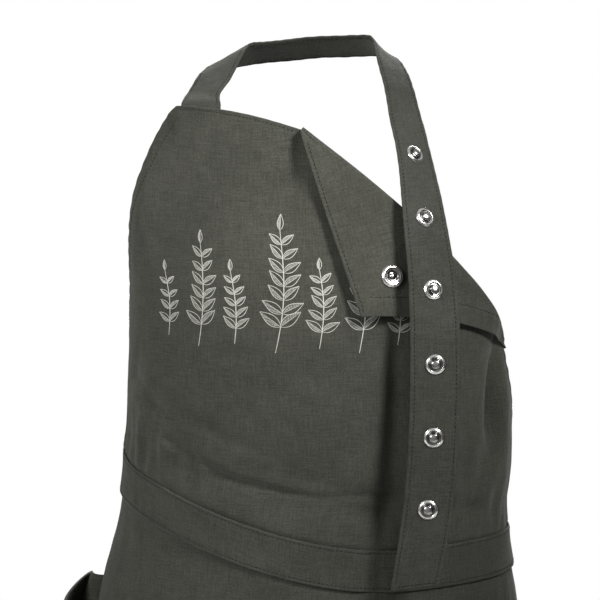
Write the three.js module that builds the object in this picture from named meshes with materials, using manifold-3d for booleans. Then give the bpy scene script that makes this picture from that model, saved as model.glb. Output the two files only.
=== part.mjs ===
import * as THREE from "three";
import { mergeVertices } from "three/addons/utils/BufferGeometryUtils.js";
import Module from "manifold-3d";

// A gardening apron as it hangs when worn: bib with one corner turned over,
// neck strap with snap studs, waistband, skirt, bellows pockets and ties.
// Millimetres, +Z up, the wearer faces -Y, the origin is the middle of the
// strap at the back of the neck. "drop" is a depth below that point, and "s"
// is a length round the body from the middle of the front, positive to the right.

// Driving sizes
const CLOTH = 1.4;
const GAP = 0.4;
const BODY_HALF = 160;
const BODY_REACH = 171;
const SIDE_RADIUS = 78;
const FRONT_TURN = 50;
const BELT_DROP = 399;
const BELT_RISE = 73;
const SKIRT_DROP = 455;
const BIB_TOP_HALF = 127;
const BIB_TOP_DROP = 43;
const BIB_BELT_HALF = 262;
const TOP_EDGE_BOW = 6;
const FOLD_START = -13;
const FOLD_START_DROP = 58;
const FOLD_END = 192;
const FOLD_END_DROP = 243;
const FOLD_BOW = 9;
const FOLD_RADIUS = 2.4;
const FLAP_CORNER = 31;
const FLAP_CORNER_DROP = 203;
const FLAP_HEM_BOW = 11;
const FLAP_LIFT = 7;
const STRAP_WIDTH = 40;
const STRAP_THICKNESS = 1.8;
const STRAP_TUCK = 28;
const STRAP_INSET = 5.4;
const SNAP_PITCH = 59;
const SNAP_END_MARGIN = 66;
const SNAP_COUNT = 6;
const STUD_RADIUS = 8;
const SOCKET_RADIUS = 9.2;
const SOCKET_FROM_HEM = 33;
const SOCKET_FROM_EDGE = 26;
const BAND_HEIGHT = 34;
const BAND_OVERLAP = 4;
const BAND_PROUD = 0.8;
const SKIRT_TOP_GAP = 4.2;
const SKIRT_HEM_HALF = 325;
const POCKET_WIDTH = 150;
const POCKET_HEIGHT = 175;
const POCKET_DEPTH = 27;
const POCKET_START = 130;
const POCKET_BELOW_BELT = 128;
const POCKET_SAG = 16;
const POCKET_SEAM = 0.4;
const TIE_WIDTH = 28;
const KNOT_WIDTH = 34;
const KNOT_HEIGHT = 26;
const KNOT_DEPTH = 16;
const KNOT_PROUD = 3;
const TAIL_LENGTH = 210;

// Shares of the sizes above
const BELT_LEVEL_FROM = 0.3;
const BELT_SLOPE_SPAN = 1.4;
const ARMHOLE_CURVE = 0.7;
const FLAP_RISE_REACH = 0.6;
const HEM_FOLLOWS_BELT = 0.25;
const POCKET_TAPER = 0.35;
const STRAP_TUCK_PLACE = 0.55;
const STRAP_TUCK_STEP = 0.1;
const FLAP_CAP_SHARE = 0.8;
const TIE_TAPER = 0.6;
const TAIL = { start: 0.12, end: 0.8, narrow: 0.5, wide: 0.9, sway: 0.02 };

// Body form the cloth lies on. level 0 is the neck, 1 the belt and 2 the hem;
// half, reach and side are shares of BODY_HALF, BODY_REACH and SIDE_RADIUS,
// shift is a share of BODY_HALF.
const FORM = [
  { level: 0.05, half: 0.8, reach: 0.74, side: 0.92, shift: 0 },
  { level: 0.28, half: 0.957, reach: 0.877, side: 0.96, shift: 0 },
  { level: 0.5, half: 0.98, reach: 1, side: 0.97, shift: 0.016 },
  { level: 0.755, half: 1, reach: 0.97, side: 1, shift: 0.017 },
  { level: 0.88, half: 1.008, reach: 0.935, side: 1, shift: 0.008 },
  { level: 1, half: 1.022, reach: 0.912, side: 1.02, shift: -0.022 },
  { level: 1.16, half: 1.11, reach: 0.947, side: 1.08, shift: -0.045 },
  { level: 1.38, half: 1.17, reach: 0.994, side: 1.13, shift: -0.045 },
  { level: 2.02, half: 1.28, reach: 1.04, side: 1.18, shift: -0.03 },
];

// Soft dents and folds of the bib. s is a share of BIB_BELT_HALF, level is as
// above, tilt is in degrees from level, long and wide are shares of
// BIB_BELT_HALF, rise is a share of BODY_HALF.
const BIB_FOLDS = [
  { s: -0.63, level: 0.33, tilt: 70, long: 0.13, wide: 0.07, rise: 0.03 },
  { s: -0.3, level: 0.86, tilt: -12, long: 0.4, wide: 0.035, rise: -0.013 },
  { s: 0.3, level: 0.92, tilt: -4, long: 0.4, wide: 0.035, rise: -0.014 },
  { s: 0.02, level: 0.93, tilt: 88, long: 0.08, wide: 0.03, rise: 0.012 },
  { s: -0.62, level: 0.82, tilt: 76, long: 0.16, wide: 0.03, rise: 0.016 },
  { s: -0.5, level: 0.84, tilt: 80, long: 0.14, wide: 0.03, rise: 0.013 },
  { s: 0.62, level: 0.9, tilt: 84, long: 0.16, wide: 0.035, rise: 0.02 },
  { s: 0.5, level: 0.86, tilt: 96, long: 0.18, wide: 0.03, rise: -0.012 },
  { s: 0.05, level: 0.4, tilt: -62, long: 0.3, wide: 0.09, rise: -0.022 },
  { s: 0.73, level: 0.6, tilt: -50, long: 0.14, wide: 0.1, rise: -0.028 },
];

// Vertical folds of the skirt. s is a share of SKIRT_HEM_HALF at the hem, wide
// a share of it, rise a share of BODY_HALF at the hem, starts a share of the
// skirt's drop.
const SKIRT_FOLDS = [
  { s: -0.86, wide: 0.07, rise: 0.06, starts: 0.5 },
  { s: -0.36, wide: 0.06, rise: 0.085, starts: 0.12 },
  { s: -0.16, wide: 0.07, rise: -0.05, starts: 0.2 },
  { s: 0.05, wide: 0.07, rise: 0.08, starts: 0.15 },
  { s: 0.24, wide: 0.06, rise: -0.055, starts: 0.18 },
  { s: 0.37, wide: 0.06, rise: 0.075, starts: 0.14 },
  { s: 0.88, wide: 0.07, rise: 0.06, starts: 0.5 },
];

// Route of the strap from the end sewn behind the bib, round the neck to the
// free end. x is a share of BIB_TOP_HALF, y of BODY_REACH, drop of BELT_DROP;
// across, back and up are the direction over the strap's width from its outer
// to its inner edge.
const STRAP = [
  { x: -0.722, y: -0.43, drop: 0.082, across: 0.65, back: -0.76, up: 0 },
  { x: -0.67, y: -0.339, drop: 0.057, across: 0.69, back: -0.72, up: 0.01 },
  { x: -0.615, y: -0.24, drop: 0.03, across: 0.79, back: -0.54, up: 0.3 },
  { x: -0.57, y: -0.137, drop: 0.015, across: 0.82, back: -0.29, up: 0.49 },
  { x: -0.486, y: -0.07, drop: 0.015, across: 0.59, back: -0.57, up: 0.58 },
  { x: -0.378, y: -0.035, drop: 0.012, across: 0.33, back: -0.79, up: 0.52 },
  { x: 0, y: 0, drop: 0, across: 0, back: -0.87, up: 0.49 },
  { x: 0.223, y: -0.026, drop: -0.003, across: 0, back: -0.87, up: 0.49 },
  { x: 0.346, y: -0.079, drop: -0.005, across: -0.15, back: -0.85, up: 0.49 },
  { x: 0.41, y: -0.143, drop: -0.004, across: -0.32, back: -0.83, up: 0.43 },
  { x: 0.449, y: -0.216, drop: 0.007, across: -0.47, back: -0.84, up: 0.27 },
  { x: 0.484, y: -0.301, drop: 0.03, across: -0.54, back: -0.84, up: 0.11 },
  { x: 0.521, y: -0.389, drop: 0.064, across: -0.57, back: -0.82, up: -0.04 },
  { x: 0.562, y: -0.523, drop: 0.122, across: -0.62, back: -0.78, up: -0.1 },
  { x: 0.618, y: -0.693, drop: 0.203, across: -0.68, back: -0.73, up: -0.05 },
  { x: 0.67, y: -0.883, drop: 0.312, across: -0.84, back: -0.54, up: -0.02 },
  { x: 0.721, y: -1.012, drop: 0.449, across: -0.95, back: -0.3, up: -0.02 },
  { x: 0.738, y: -1.061, drop: 0.595, across: -1, back: -0.03, up: 0 },
  { x: 0.73, y: -1.061, drop: 0.748, across: -1, back: 0.03, up: 0 },
  { x: 0.7, y: -1.05, drop: 0.891, across: -1, back: 0.08, up: -0.02 },
  { x: 0.618, y: -1.041, drop: 1.06, across: -0.98, back: 0.15, up: -0.16 },
];

// Turned outlines of the snap parts, from the middle of the base outwards and
// back to the middle of the top, as shares of each part's radius.
const STUD_OUTLINE = [
  { radius: 0, height: 0 },
  { radius: 1, height: 0 },
  { radius: 1, height: 0.08 },
  { radius: 0.84, height: 0.22 },
  { radius: 0.62, height: 0.13 },
  { radius: 0.5, height: 0.13 },
  { radius: 0.44, height: 0.42 },
  { radius: 0.28, height: 0.56 },
  { radius: 0, height: 0.56 },
];
const CAP_OUTLINE = [
  { radius: 0, height: 0 },
  { radius: 1, height: 0 },
  { radius: 1, height: 0.08 },
  { radius: 0.8, height: 0.16 },
  { radius: 0, height: 0.16 },
];
const SOCKET_OUTLINE = [
  { radius: 0, height: 0 },
  { radius: 1, height: 0 },
  { radius: 1, height: 0.1 },
  { radius: 0.88, height: 0.24 },
  { radius: 0.66, height: 0.24 },
  { radius: 0.5, height: 0.2 },
  { radius: 0.46, height: 0.08 },
  { radius: 0, height: 0.08 },
];

// Grid densities
const BIB_COLUMNS = 28;
const BIB_TOP_COLUMNS = 8;
const BIB_ROWS = 15;
const ROLL_ROWS = 4;
const FLAP_ROWS = 6;
const SKIRT_COLUMNS = 2 * BIB_COLUMNS;
const SKIRT_ROWS = 10;
const SKIRT_ROW_SPREAD = 1.4;
const BAND_ROWS = 3;
const STRAP_STEPS = 66;
const TIE_STEPS = 12;
const TAIL_STEPS = 8;
const POCKET_STEPS = 8;
const ROUND_SIDES = 16;
const RIM_STEPS = 8;
const WELD = 0.005;

const COLOURS = {
  cloth: 0x4a4a43,
  strap: 0x484943,
  metal: 0xc9c9c6,
};

const turn = THREE.MathUtils.degToRad(FRONT_TURN);
const lerp = THREE.MathUtils.lerp;

function smooth(t) {
  const c = THREE.MathUtils.clamp(t, 0, 1);
  return c * c * (3 - 2 * c);
}

// Smooth curve through the rows of a table: value of one column at "at".
function tableCurve(rows, key, column, at) {
  const last = rows.length - 1;
  const x = THREE.MathUtils.clamp(at, rows[0][key], rows[last][key]);
  let i = 0;
  while (i < last - 1 && x > rows[i + 1][key]) i += 1;
  const slope = (k) => {
    const a = Math.max(k - 1, 0);
    const b = Math.min(k + 1, last);
    return (rows[b][column] - rows[a][column]) / (rows[b][key] - rows[a][key]);
  };
  const step = rows[i + 1][key] - rows[i][key];
  const t = (x - rows[i][key]) / step;
  const t2 = t * t;
  const t3 = t2 * t;
  return (
    rows[i][column] * (2 * t3 - 3 * t2 + 1) +
    slope(i) * step * (t3 - 2 * t2 + t) +
    rows[i + 1][column] * (3 * t2 - 2 * t3) +
    slope(i + 1) * step * (t3 - t2)
  );
}

function levelOf(drop) {
  return drop < BELT_DROP ? drop / BELT_DROP : 1 + (drop - BELT_DROP) / SKIRT_DROP;
}

// One level section of the body: a wide arc in front and behind, joined by
// tighter arcs at the sides.
function section(drop) {
  const level = levelOf(drop);
  const half = BODY_HALF * tableCurve(FORM, "level", "half", level);
  const side = SIDE_RADIUS * tableCurve(FORM, "level", "side", level);
  const wide = (half - side * (1 - Math.sin(turn))) / Math.sin(turn);
  return {
    wide,
    side,
    front: -BODY_REACH * tableCurve(FORM, "level", "reach", level),
    shift: BODY_HALF * tableCurve(FORM, "level", "shift", level),
    frontArc: wide * turn,
    sideArc: side * (Math.PI - 2 * turn),
  };
}

// Point on the body at s and drop, stood off by "off" along the level normal.
function onBody(s, drop, off) {
  const c = section(drop);
  const m = Math.abs(s);
  const sign = Math.sign(s);
  let angle = m / c.wide;
  let x = c.wide * Math.sin(angle);
  let y = c.wide * (1 - Math.cos(angle));
  if (m > c.frontArc) {
    const along = Math.min(m - c.frontArc, c.sideArc);
    angle = turn + along / c.side;
    x = c.wide * Math.sin(turn) + c.side * (Math.sin(angle) - Math.sin(turn));
    y = c.wide * (1 - Math.cos(turn)) + c.side * (Math.cos(turn) - Math.cos(angle));
  }
  if (m > c.frontArc + c.sideArc) {
    const start = angle;
    angle = start + (m - c.frontArc - c.sideArc) / c.wide;
    x += c.wide * (Math.sin(angle) - Math.sin(start));
    y += c.wide * (Math.cos(start) - Math.cos(angle));
  }
  return new THREE.Vector3(
    c.shift + sign * (x + off * Math.sin(angle)),
    c.front + y - off * Math.cos(angle),
    -drop,
  );
}

function halfGirth(drop) {
  const c = section(drop);
  return 2 * c.frontArc + c.sideArc;
}

// The upper seam of the belt: level on the right, pulled up on the left.
function beltDrop(s) {
  const from = BELT_LEVEL_FROM * BIB_BELT_HALF;
  return BELT_DROP - BELT_RISE * smooth((from - s) / (BELT_SLOPE_SPAN * BIB_BELT_HALF));
}

// Depth of the bib's soft folds at one place, dying out towards the belt.
function bibFold(s, drop) {
  let off = 0;
  for (const f of BIB_FOLDS) {
    const tilt = THREE.MathUtils.degToRad(f.tilt);
    const dx = s - f.s * BIB_BELT_HALF;
    const dz = f.level * BELT_DROP - drop;
    const along = (dx * Math.cos(tilt) + dz * Math.sin(tilt)) / (f.long * BIB_BELT_HALF);
    const over = (dz * Math.cos(tilt) - dx * Math.sin(tilt)) / (f.wide * BIB_BELT_HALF);
    off += f.rise * BODY_HALF * Math.exp(-along * along - over * over);
  }
  return off * smooth((beltDrop(s) - drop) / BAND_HEIGHT);
}

// A sheet is a list of points and triangles. Points that fall together are one.
class Sheet {
  constructor() {
    this.points = [];
    this.faces = [];
    this.index = new Map();
  }
  add(p) {
    const key = [p.x, p.y, p.z].map((v) => Math.round(v / WELD)).join();
    if (!this.index.has(key)) {
      this.index.set(key, this.points.length);
      this.points.push(p);
    }
    return this.index.get(key);
  }
  triangle(a, b, c) {
    if (a !== b && b !== c && c !== a) this.faces.push([a, b, c]);
  }
  // rows run downwards and columns to the right, as seen from outside
  grid(rows) {
    const ids = rows.map((row) => row.map((p) => this.add(p)));
    for (let j = 0; j + 1 < ids.length; j += 1) {
      for (let i = 0; i + 1 < ids[j].length; i += 1) {
        this.triangle(ids[j][i], ids[j + 1][i], ids[j + 1][i + 1]);
        this.triangle(ids[j][i], ids[j + 1][i + 1], ids[j][i + 1]);
      }
    }
  }
  normals() {
    const out = this.points.map(() => new THREE.Vector3());
    for (const [a, b, c] of this.faces) {
      const ab = this.points[b].clone().sub(this.points[a]);
      const ac = this.points[c].clone().sub(this.points[a]);
      const n = ab.cross(ac);
      for (const k of [a, b, c]) out[k].add(n);
    }
    return out.map((n) => n.normalize());
  }
  // Closed wall of even thickness about the sheet.
  wall(thickness) {
    const n = this.points.length;
    const normals = this.normals();
    const positions = [];
    for (const side of [0.5, -0.5]) {
      this.points.forEach((p, k) => {
        positions.push(...p.clone().addScaledVector(normals[k], side * thickness));
      });
    }
    const faces = this.faces.flatMap(([a, b, c]) => [a, b, c, a + n, c + n, b + n]);
    const edges = new Set();
    const edgeKey = (a, b) => a + "_" + b;
    for (const [a, b, c] of this.faces) {
      for (const [p, q] of [[a, b], [b, c], [c, a]]) edges.add(edgeKey(p, q));
    }
    for (const [a, b, c] of this.faces) {
      for (const [p, q] of [[a, b], [b, c], [c, a]]) {
        if (!edges.has(edgeKey(q, p))) faces.push(q, p, p + n, q, p + n, q + n);
      }
    }
    const geometry = new THREE.BufferGeometry();
    geometry.setAttribute("position", new THREE.Float32BufferAttribute(positions, 3));
    geometry.setIndex(faces);
    return geometry;
  }
}

function steps(count) {
  return Array.from({ length: count + 1 }, (unused, k) => k / count);
}

// Straight line between two body places with a bow upwards in its middle.
function bowed(a, b, bow, t) {
  return { s: lerp(a.s, b.s, t), drop: lerp(a.drop, b.drop, t) - bow * 4 * t * (1 - t) };
}

const topCorner = { s: -BIB_TOP_HALF, drop: BIB_TOP_DROP };
const foldStart = { s: FOLD_START, drop: FOLD_START_DROP };
const foldEnd = { s: FOLD_END, drop: FOLD_END_DROP };
const flapCorner = { s: FLAP_CORNER, drop: FLAP_CORNER_DROP };

// Upper outline of the bib: its top edge, then the fold of the turned corner.
function bibTop(u) {
  const kink = BIB_TOP_COLUMNS / BIB_COLUMNS;
  if (u < kink) return bowed(topCorner, foldStart, TOP_EDGE_BOW, u / kink);
  return foldLine((u - kink) / (1 - kink));
}

function foldLine(t) {
  return bowed(foldStart, foldEnd, FOLD_BOW, t);
}

function bibFoot(s) {
  return { s, drop: beltDrop(s) + BAND_OVERLAP };
}

// Left armhole edge, curved, and the edge under the fold's end, straight.
function bibSide(v, right) {
  const start = right ? foldEnd : topCorner;
  const end = bibFoot(right ? BIB_BELT_HALF : -BIB_BELT_HALF);
  const share = right ? v : Math.pow(v, ARMHOLE_CURVE);
  return { s: lerp(start.s, end.s, share), drop: lerp(start.drop, end.drop, v) };
}

// Patch between the four edges of the bib.
function bibPlace(u, v) {
  const top = bibTop(u);
  const foot = bibFoot(lerp(-BIB_BELT_HALF, BIB_BELT_HALF, u));
  const left = bibSide(v, false);
  const right = bibSide(v, true);
  const blend = (key) => {
    const edges = lerp(top[key], foot[key], v) + lerp(left[key], right[key], u);
    const upper = lerp(topCorner[key], foldEnd[key], u);
    const lower = lerp(bibSide(1, false)[key], bibSide(1, true)[key], u);
    return edges - lerp(upper, lower, v);
  };
  return { s: blend("s"), drop: blend("drop") };
}

function bibPoint(place, off) {
  return onBody(place.s, place.drop, off + bibFold(place.s, place.drop));
}

// Where the line square to the fold through the flap's corner meets the fold.
function flapSplit() {
  const along = { s: FOLD_END - FOLD_START, drop: FOLD_END_DROP - FOLD_START_DROP };
  const edge = { s: FLAP_CORNER - FOLD_START, drop: FLAP_CORNER_DROP - FOLD_START_DROP };
  const dot = along.s * edge.s + along.drop * edge.drop;
  return dot / (along.s ** 2 + along.drop ** 2);
}

// Free edge of the flap opposite the fold at t: its side edge, then its hem.
function flapEdge(t) {
  const split = flapSplit();
  if (t < split) return bowed(foldStart, flapCorner, 0, t / split);
  return bowed(flapCorner, foldEnd, FLAP_HEM_BOW, (t - split) / (1 - split));
}

// Place and stand-off on the flap: t along the fold, w from fold to free edge.
function flapPlace(t, w) {
  const a = foldLine(t);
  const b = flapEdge(t);
  const far = Math.hypot(b.s - a.s, b.drop - a.drop) * w;
  const rise = FLAP_LIFT * smooth(far / (FLAP_RISE_REACH * FOLD_END));
  return { s: lerp(a.s, b.s, w), drop: lerp(a.drop, b.drop, w), off: 2 * FOLD_RADIUS + rise };
}

function flapPoint(t, w) {
  const p = flapPlace(t, w);
  return bibPoint(p, p.off);
}

function bibGeometry() {
  const sheet = new Sheet();
  sheet.grid(
    steps(BIB_ROWS).map((v) => steps(BIB_COLUMNS).map((u) => bibPoint(bibPlace(u, v), 0))),
  );
  const slope = { s: FOLD_END - FOLD_START, drop: FOLD_END_DROP - FOLD_START_DROP };
  const length = Math.hypot(slope.s, slope.drop);
  const columns = steps(BIB_COLUMNS - BIB_TOP_COLUMNS);
  const rolled = steps(ROLL_ROWS).map((share) =>
    columns.map((t) => {
      const angle = share * Math.PI;
      const out = FOLD_RADIUS * Math.sin(angle);
      const a = foldLine(t);
      const place = { s: a.s + (out * slope.drop) / length, drop: a.drop - (out * slope.s) / length };
      return bibPoint(place, FOLD_RADIUS * (1 - Math.cos(angle)));
    }),
  );
  const laid = steps(FLAP_ROWS)
    .slice(1)
    .map((w) => columns.map((t) => flapPoint(t, w)));
  sheet.grid([...rolled, ...laid].reverse());
  return sheet.wall(CLOTH);
}

function waistbandGeometry() {
  const sheet = new Sheet();
  const rows = steps(BAND_ROWS).map((v) =>
    steps(BIB_COLUMNS).map((u) => {
      const s = lerp(-BIB_BELT_HALF, BIB_BELT_HALF, u);
      return onBody(s, beltDrop(s) + v * BAND_HEIGHT, CLOTH + GAP + BAND_PROUD);
    }),
  );
  sheet.grid(rows);
  return sheet.wall(CLOTH);
}

// Stand-off of the skirt at share v down its drop and share k of its half width.
function skirtFold(k, v) {
  let off = 0;
  for (const f of SKIRT_FOLDS) {
    const across = (k - f.s) / f.wide;
    const grown = smooth((v - f.starts) / (1 - f.starts));
    off += f.rise * BODY_HALF * grown * Math.exp(-across * across);
  }
  return off;
}

// Place on the skirt: k from -1 at its left edge to 1, v from 0 at the band.
function skirtPlace(k, v) {
  const belt = beltDrop(k * BIB_BELT_HALF);
  const top = belt + BAND_OVERLAP + SKIRT_TOP_GAP;
  const hem = BELT_DROP + SKIRT_DROP - HEM_FOLLOWS_BELT * (BELT_DROP - belt);
  return {
    s: k * lerp(BIB_BELT_HALF, SKIRT_HEM_HALF, v),
    drop: lerp(top, hem, v),
    off: skirtFold(k, v),
  };
}

// Stand-off of the skirt where s and drop are given.
function skirtFoldAt(s, drop) {
  let k = s / SKIRT_HEM_HALF;
  let v = 0;
  for (let round = 0; round < 6; round += 1) {
    const foot = skirtPlace(k, 1).drop;
    const top = skirtPlace(k, 0).drop;
    v = THREE.MathUtils.clamp((drop - top) / (foot - top), 0, 1);
    k = s / lerp(BIB_BELT_HALF, SKIRT_HEM_HALF, v);
  }
  return skirtFold(k, v);
}

function skirtGeometry() {
  const sheet = new Sheet();
  sheet.grid(
    steps(SKIRT_ROWS).map((share) =>
      steps(SKIRT_COLUMNS).map((u) => {
        const p = skirtPlace(2 * u - 1, Math.pow(share, SKIRT_ROW_SPREAD));
        return onBody(p.s, p.drop, p.off);
      }),
    ),
  );
  return sheet.wall(CLOTH);
}

// Bellows pocket: a tray of one sheet, sewn by its two sides and its foot to
// the skirt and open at the top. The side walls stand square to the skirt.
function pocketGeometry(side) {
  const sheet = new Sheet();
  const seat = CLOTH + GAP + POCKET_SEAM;
  const across = [0, 0, ...steps(POCKET_STEPS).slice(1, -1), 1, 1];
  const down = [...steps(POCKET_STEPS), 1];
  const rows = down.map((v, j) =>
    across.map((u, i) => {
      const sewn = i === 0 || i === across.length - 1 || j === down.length - 1;
      const s = side * (POCKET_START + (side > 0 ? u : 1 - u) * POCKET_WIDTH);
      const sag = sewn ? 0 : POCKET_SAG * (1 - v) * Math.sin(Math.PI * u);
      const drop = beltDrop(s) + POCKET_BELOW_BELT + v * POCKET_HEIGHT + sag;
      const belly = 1 - POCKET_TAPER * v * v;
      const off = seat + skirtFoldAt(s, drop);
      return onBody(s, drop, sewn ? off : off + POCKET_DEPTH * belly);
    }),
  );
  sheet.grid(rows);
  return sheet.wall(CLOTH);
}

// Strap centre line and width direction by length along it.
function strapRoute() {
  const rows = STRAP.map((r) => ({
    x: r.x * BIB_TOP_HALF,
    y: r.y * BODY_REACH,
    z: -r.drop * BELT_DROP,
    across: r.across,
    back: r.back,
    up: r.up,
  }));
  const middle = -BIB_TOP_HALF + STRAP_TUCK_PLACE * STRAP_WIDTH;
  const tuckDrop = BIB_TOP_DROP + STRAP_TUCK;
  const tucked = onBody(middle, tuckDrop, 0);
  const ahead = onBody(middle + STRAP_TUCK_STEP * STRAP_WIDTH, tuckDrop, 0);
  const lying = ahead.clone().sub(tucked).normalize();
  const inward = new THREE.Vector3(-lying.y, lying.x, 0).multiplyScalar(STRAP_INSET);
  for (const drop of [BIB_TOP_DROP, tuckDrop]) {
    const p = onBody(middle, drop, 0).add(inward);
    rows.unshift({ x: p.x, y: p.y, z: p.z, across: lying.x, back: lying.y, up: 0 });
  }
  rows[0].along = 0;
  for (let i = 1; i < rows.length; i += 1) {
    const a = rows[i - 1];
    const b = rows[i];
    b.along = a.along + Math.hypot(b.x - a.x, b.y - a.y, b.z - a.z);
  }
  return rows;
}

const route = strapRoute();
const strapLength = route[route.length - 1].along;

function strapPoint(along, over) {
  const at = (column) => tableCurve(route, "along", column, along);
  const width = new THREE.Vector3(at("across"), at("back"), at("up")).normalize();
  return new THREE.Vector3(at("x"), at("y"), at("z")).addScaledVector(width, over);
}

// Frame of the strap at one length: centre, outward normal and travel.
function strapFrame(along) {
  const centre = strapPoint(along, 0);
  const width = strapPoint(along, 1).sub(centre);
  const travel = strapPoint(along + 1, 0).sub(strapPoint(along - 1, 0)).normalize();
  return { centre, normal: width.cross(travel).normalize(), travel };
}

function strapGeometry() {
  const sheet = new Sheet();
  sheet.grid(
    steps(STRAP_STEPS).map((share) =>
      [-0.5, 0, 0.5].map((over) => strapPoint(share * strapLength, over * STRAP_WIDTH)),
    ),
  );
  return sheet.wall(STRAP_THICKNESS);
}

// Solid of revolution about +Z from an outline and its radius, base upwards.
function turned(outline, radius) {
  const points = outline.map((p) => new THREE.Vector2(p.radius * radius, p.height * radius));
  const geometry = new THREE.LatheGeometry(points, ROUND_SIDES);
  geometry.rotateX(Math.PI / 2);
  geometry.deleteAttribute("normal");
  geometry.deleteAttribute("uv");
  return mergeVertices(geometry, WELD);
}

const group = new THREE.Group();

function place(name, geometry, colour, metal) {
  const material = new THREE.MeshStandardMaterial({
    color: colour,
    roughness: metal ? 0.25 : 0.95,
    metalness: metal ? 1 : 0,
  });
  const mesh = new THREE.Mesh(geometry, material);
  mesh.name = name;
  group.add(mesh);
  return mesh;
}

// Stands a turned piece on a point with its axis along "normal".
function seat(mesh, point, normal, off) {
  mesh.quaternion.setFromUnitVectors(new THREE.Vector3(0, 0, 1), normal);
  mesh.position.copy(point).addScaledVector(normal, off);
}

// How far a surface rises over its tangent plane inside a disc.
function riseUnder(pointAt, centre, normal, radius) {
  let high = 0;
  for (const a of steps(RIM_STEPS)) {
    for (const r of [0.5 * radius, radius]) {
      const p = pointAt(r * Math.cos(2 * Math.PI * a), r * Math.sin(2 * Math.PI * a));
      high = Math.max(high, p.sub(centre).dot(normal));
    }
  }
  return high;
}

function placePair(names, geometries, frame, pointAt, radius, thickness) {
  const back = frame.normal.clone().negate();
  [frame.normal, back].forEach((normal, k) => {
    const mesh = place(names[k], geometries[k], COLOURS.metal, true);
    const high = riseUnder(pointAt, frame.centre, normal, radius);
    seat(mesh, frame.centre, normal, high + thickness / 2 + GAP);
  });
}

place("bib", bibGeometry(), COLOURS.cloth, false);
place("neck_strap", strapGeometry(), COLOURS.strap, false);
place("waistband", waistbandGeometry(), COLOURS.cloth, false);
place("skirt", skirtGeometry(), COLOURS.cloth, false);
place("pocket_left", pocketGeometry(-1), COLOURS.cloth, false);
place("pocket_right", pocketGeometry(1), COLOURS.cloth, false);

for (let k = 1; k <= SNAP_COUNT; k += 1) {
  const along = strapLength - SNAP_END_MARGIN - (SNAP_COUNT - k) * SNAP_PITCH;
  const pair = [turned(STUD_OUTLINE, STUD_RADIUS), turned(CAP_OUTLINE, STUD_RADIUS)];
  const names = ["snap_stud_" + k, "snap_cap_" + k];
  const pointAt = (a, b) => strapPoint(along + a, b);
  placePair(names, pair, strapFrame(along), pointAt, STUD_RADIUS, STRAP_THICKNESS);
}

// The socket sits near the flap's corner. Its place is found along the hem and
// up from it.
function flapFrame() {
  const hem = { s: foldEnd.s - flapCorner.s, drop: foldEnd.drop - flapCorner.drop };
  const hemLength = Math.hypot(hem.s, hem.drop);
  const slope = { s: foldEnd.s - foldStart.s, drop: foldEnd.drop - foldStart.drop };
  const foldLength = Math.hypot(slope.s, slope.drop);
  const square = { s: -slope.drop / foldLength, drop: slope.s / foldLength };
  const wanted = {
    s: flapCorner.s + (SOCKET_FROM_EDGE * hem.s) / hemLength,
    drop: flapCorner.drop + (SOCKET_FROM_EDGE * hem.drop) / hemLength - SOCKET_FROM_HEM,
  };
  const from = { s: wanted.s - foldStart.s, drop: wanted.drop - foldStart.drop };
  const t = (from.s * slope.s + from.drop * slope.drop) / foldLength ** 2;
  const far = from.s * square.s + from.drop * square.drop;
  const edge = flapEdge(t);
  const edgeFar = (edge.s - foldStart.s) * square.s + (edge.drop - foldStart.drop) * square.drop;
  const w = far / edgeFar;
  const pointAt = (a, b) => flapPoint(t + a / foldLength, w + b / edgeFar);
  const centre = pointAt(0, 0);
  const along = pointAt(1, 0).sub(pointAt(-1, 0));
  const over = pointAt(0, 1).sub(pointAt(0, -1));
  const normal = along.cross(over).normalize();
  if (normal.y > 0) normal.negate();
  return { centre, normal, pointAt };
}

const flap = flapFrame();
placePair(
  ["flap_socket", "flap_cap"],
  [turned(SOCKET_OUTLINE, SOCKET_RADIUS), turned(CAP_OUTLINE, FLAP_CAP_SHARE * SOCKET_RADIUS)],
  flap,
  flap.pointAt,
  SOCKET_RADIUS,
  CLOTH,
);

// Half width of the knot at the level of the ties, which enter its sides.
const knotReach = 0.5 * KNOT_WIDTH * Math.sqrt(1 - ((2 * KNOT_PROUD) / KNOT_DEPTH) ** 2);

// Tie from the end of the waistband round the side to the knot at the back.
function tieGeometry(side) {
  const sheet = new Sheet();
  const start = BIB_BELT_HALF + 2 * GAP;
  const startDrop = beltDrop(side * BIB_BELT_HALF) + BAND_HEIGHT / 2;
  const endDrop = (beltDrop(-BIB_BELT_HALF) + beltDrop(BIB_BELT_HALF) + BAND_HEIGHT) / 2;
  const end = halfGirth(endDrop) - knotReach - GAP;
  const columns = steps(TIE_STEPS).map((share) => (side > 0 ? share : 1 - share));
  const rows = [-0.5, 0, 0.5].map((over) =>
    columns.map((share) => {
      const middle = lerp(startDrop, endDrop, smooth(share));
      const width = TIE_WIDTH * lerp(1, TIE_TAPER, smooth(2 * share - 1));
      return onBody(side * lerp(start, end, share), middle + over * width, CLOTH + GAP);
    }),
  );
  sheet.grid(rows);
  return sheet.wall(CLOTH);
}

const wasm = await Module();
wasm.setup();

function toSolid(geometry) {
  const bare = new THREE.BufferGeometry();
  bare.setAttribute("position", geometry.getAttribute("position"));
  if (geometry.index) bare.setIndex(geometry.index);
  const merged = mergeVertices(bare, WELD);
  return new wasm.Manifold(
    new wasm.Mesh({
      numProp: 3,
      vertProperties: merged.getAttribute("position").array,
      triVerts: new Uint32Array(merged.index.array),
    }),
  );
}

function fromSolid(solid) {
  const mesh = solid.getMesh();
  const geometry = new THREE.BufferGeometry();
  geometry.setAttribute("position", new THREE.BufferAttribute(mesh.vertProperties, 3));
  geometry.setIndex(new THREE.BufferAttribute(mesh.triVerts, 1));
  return geometry;
}

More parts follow.
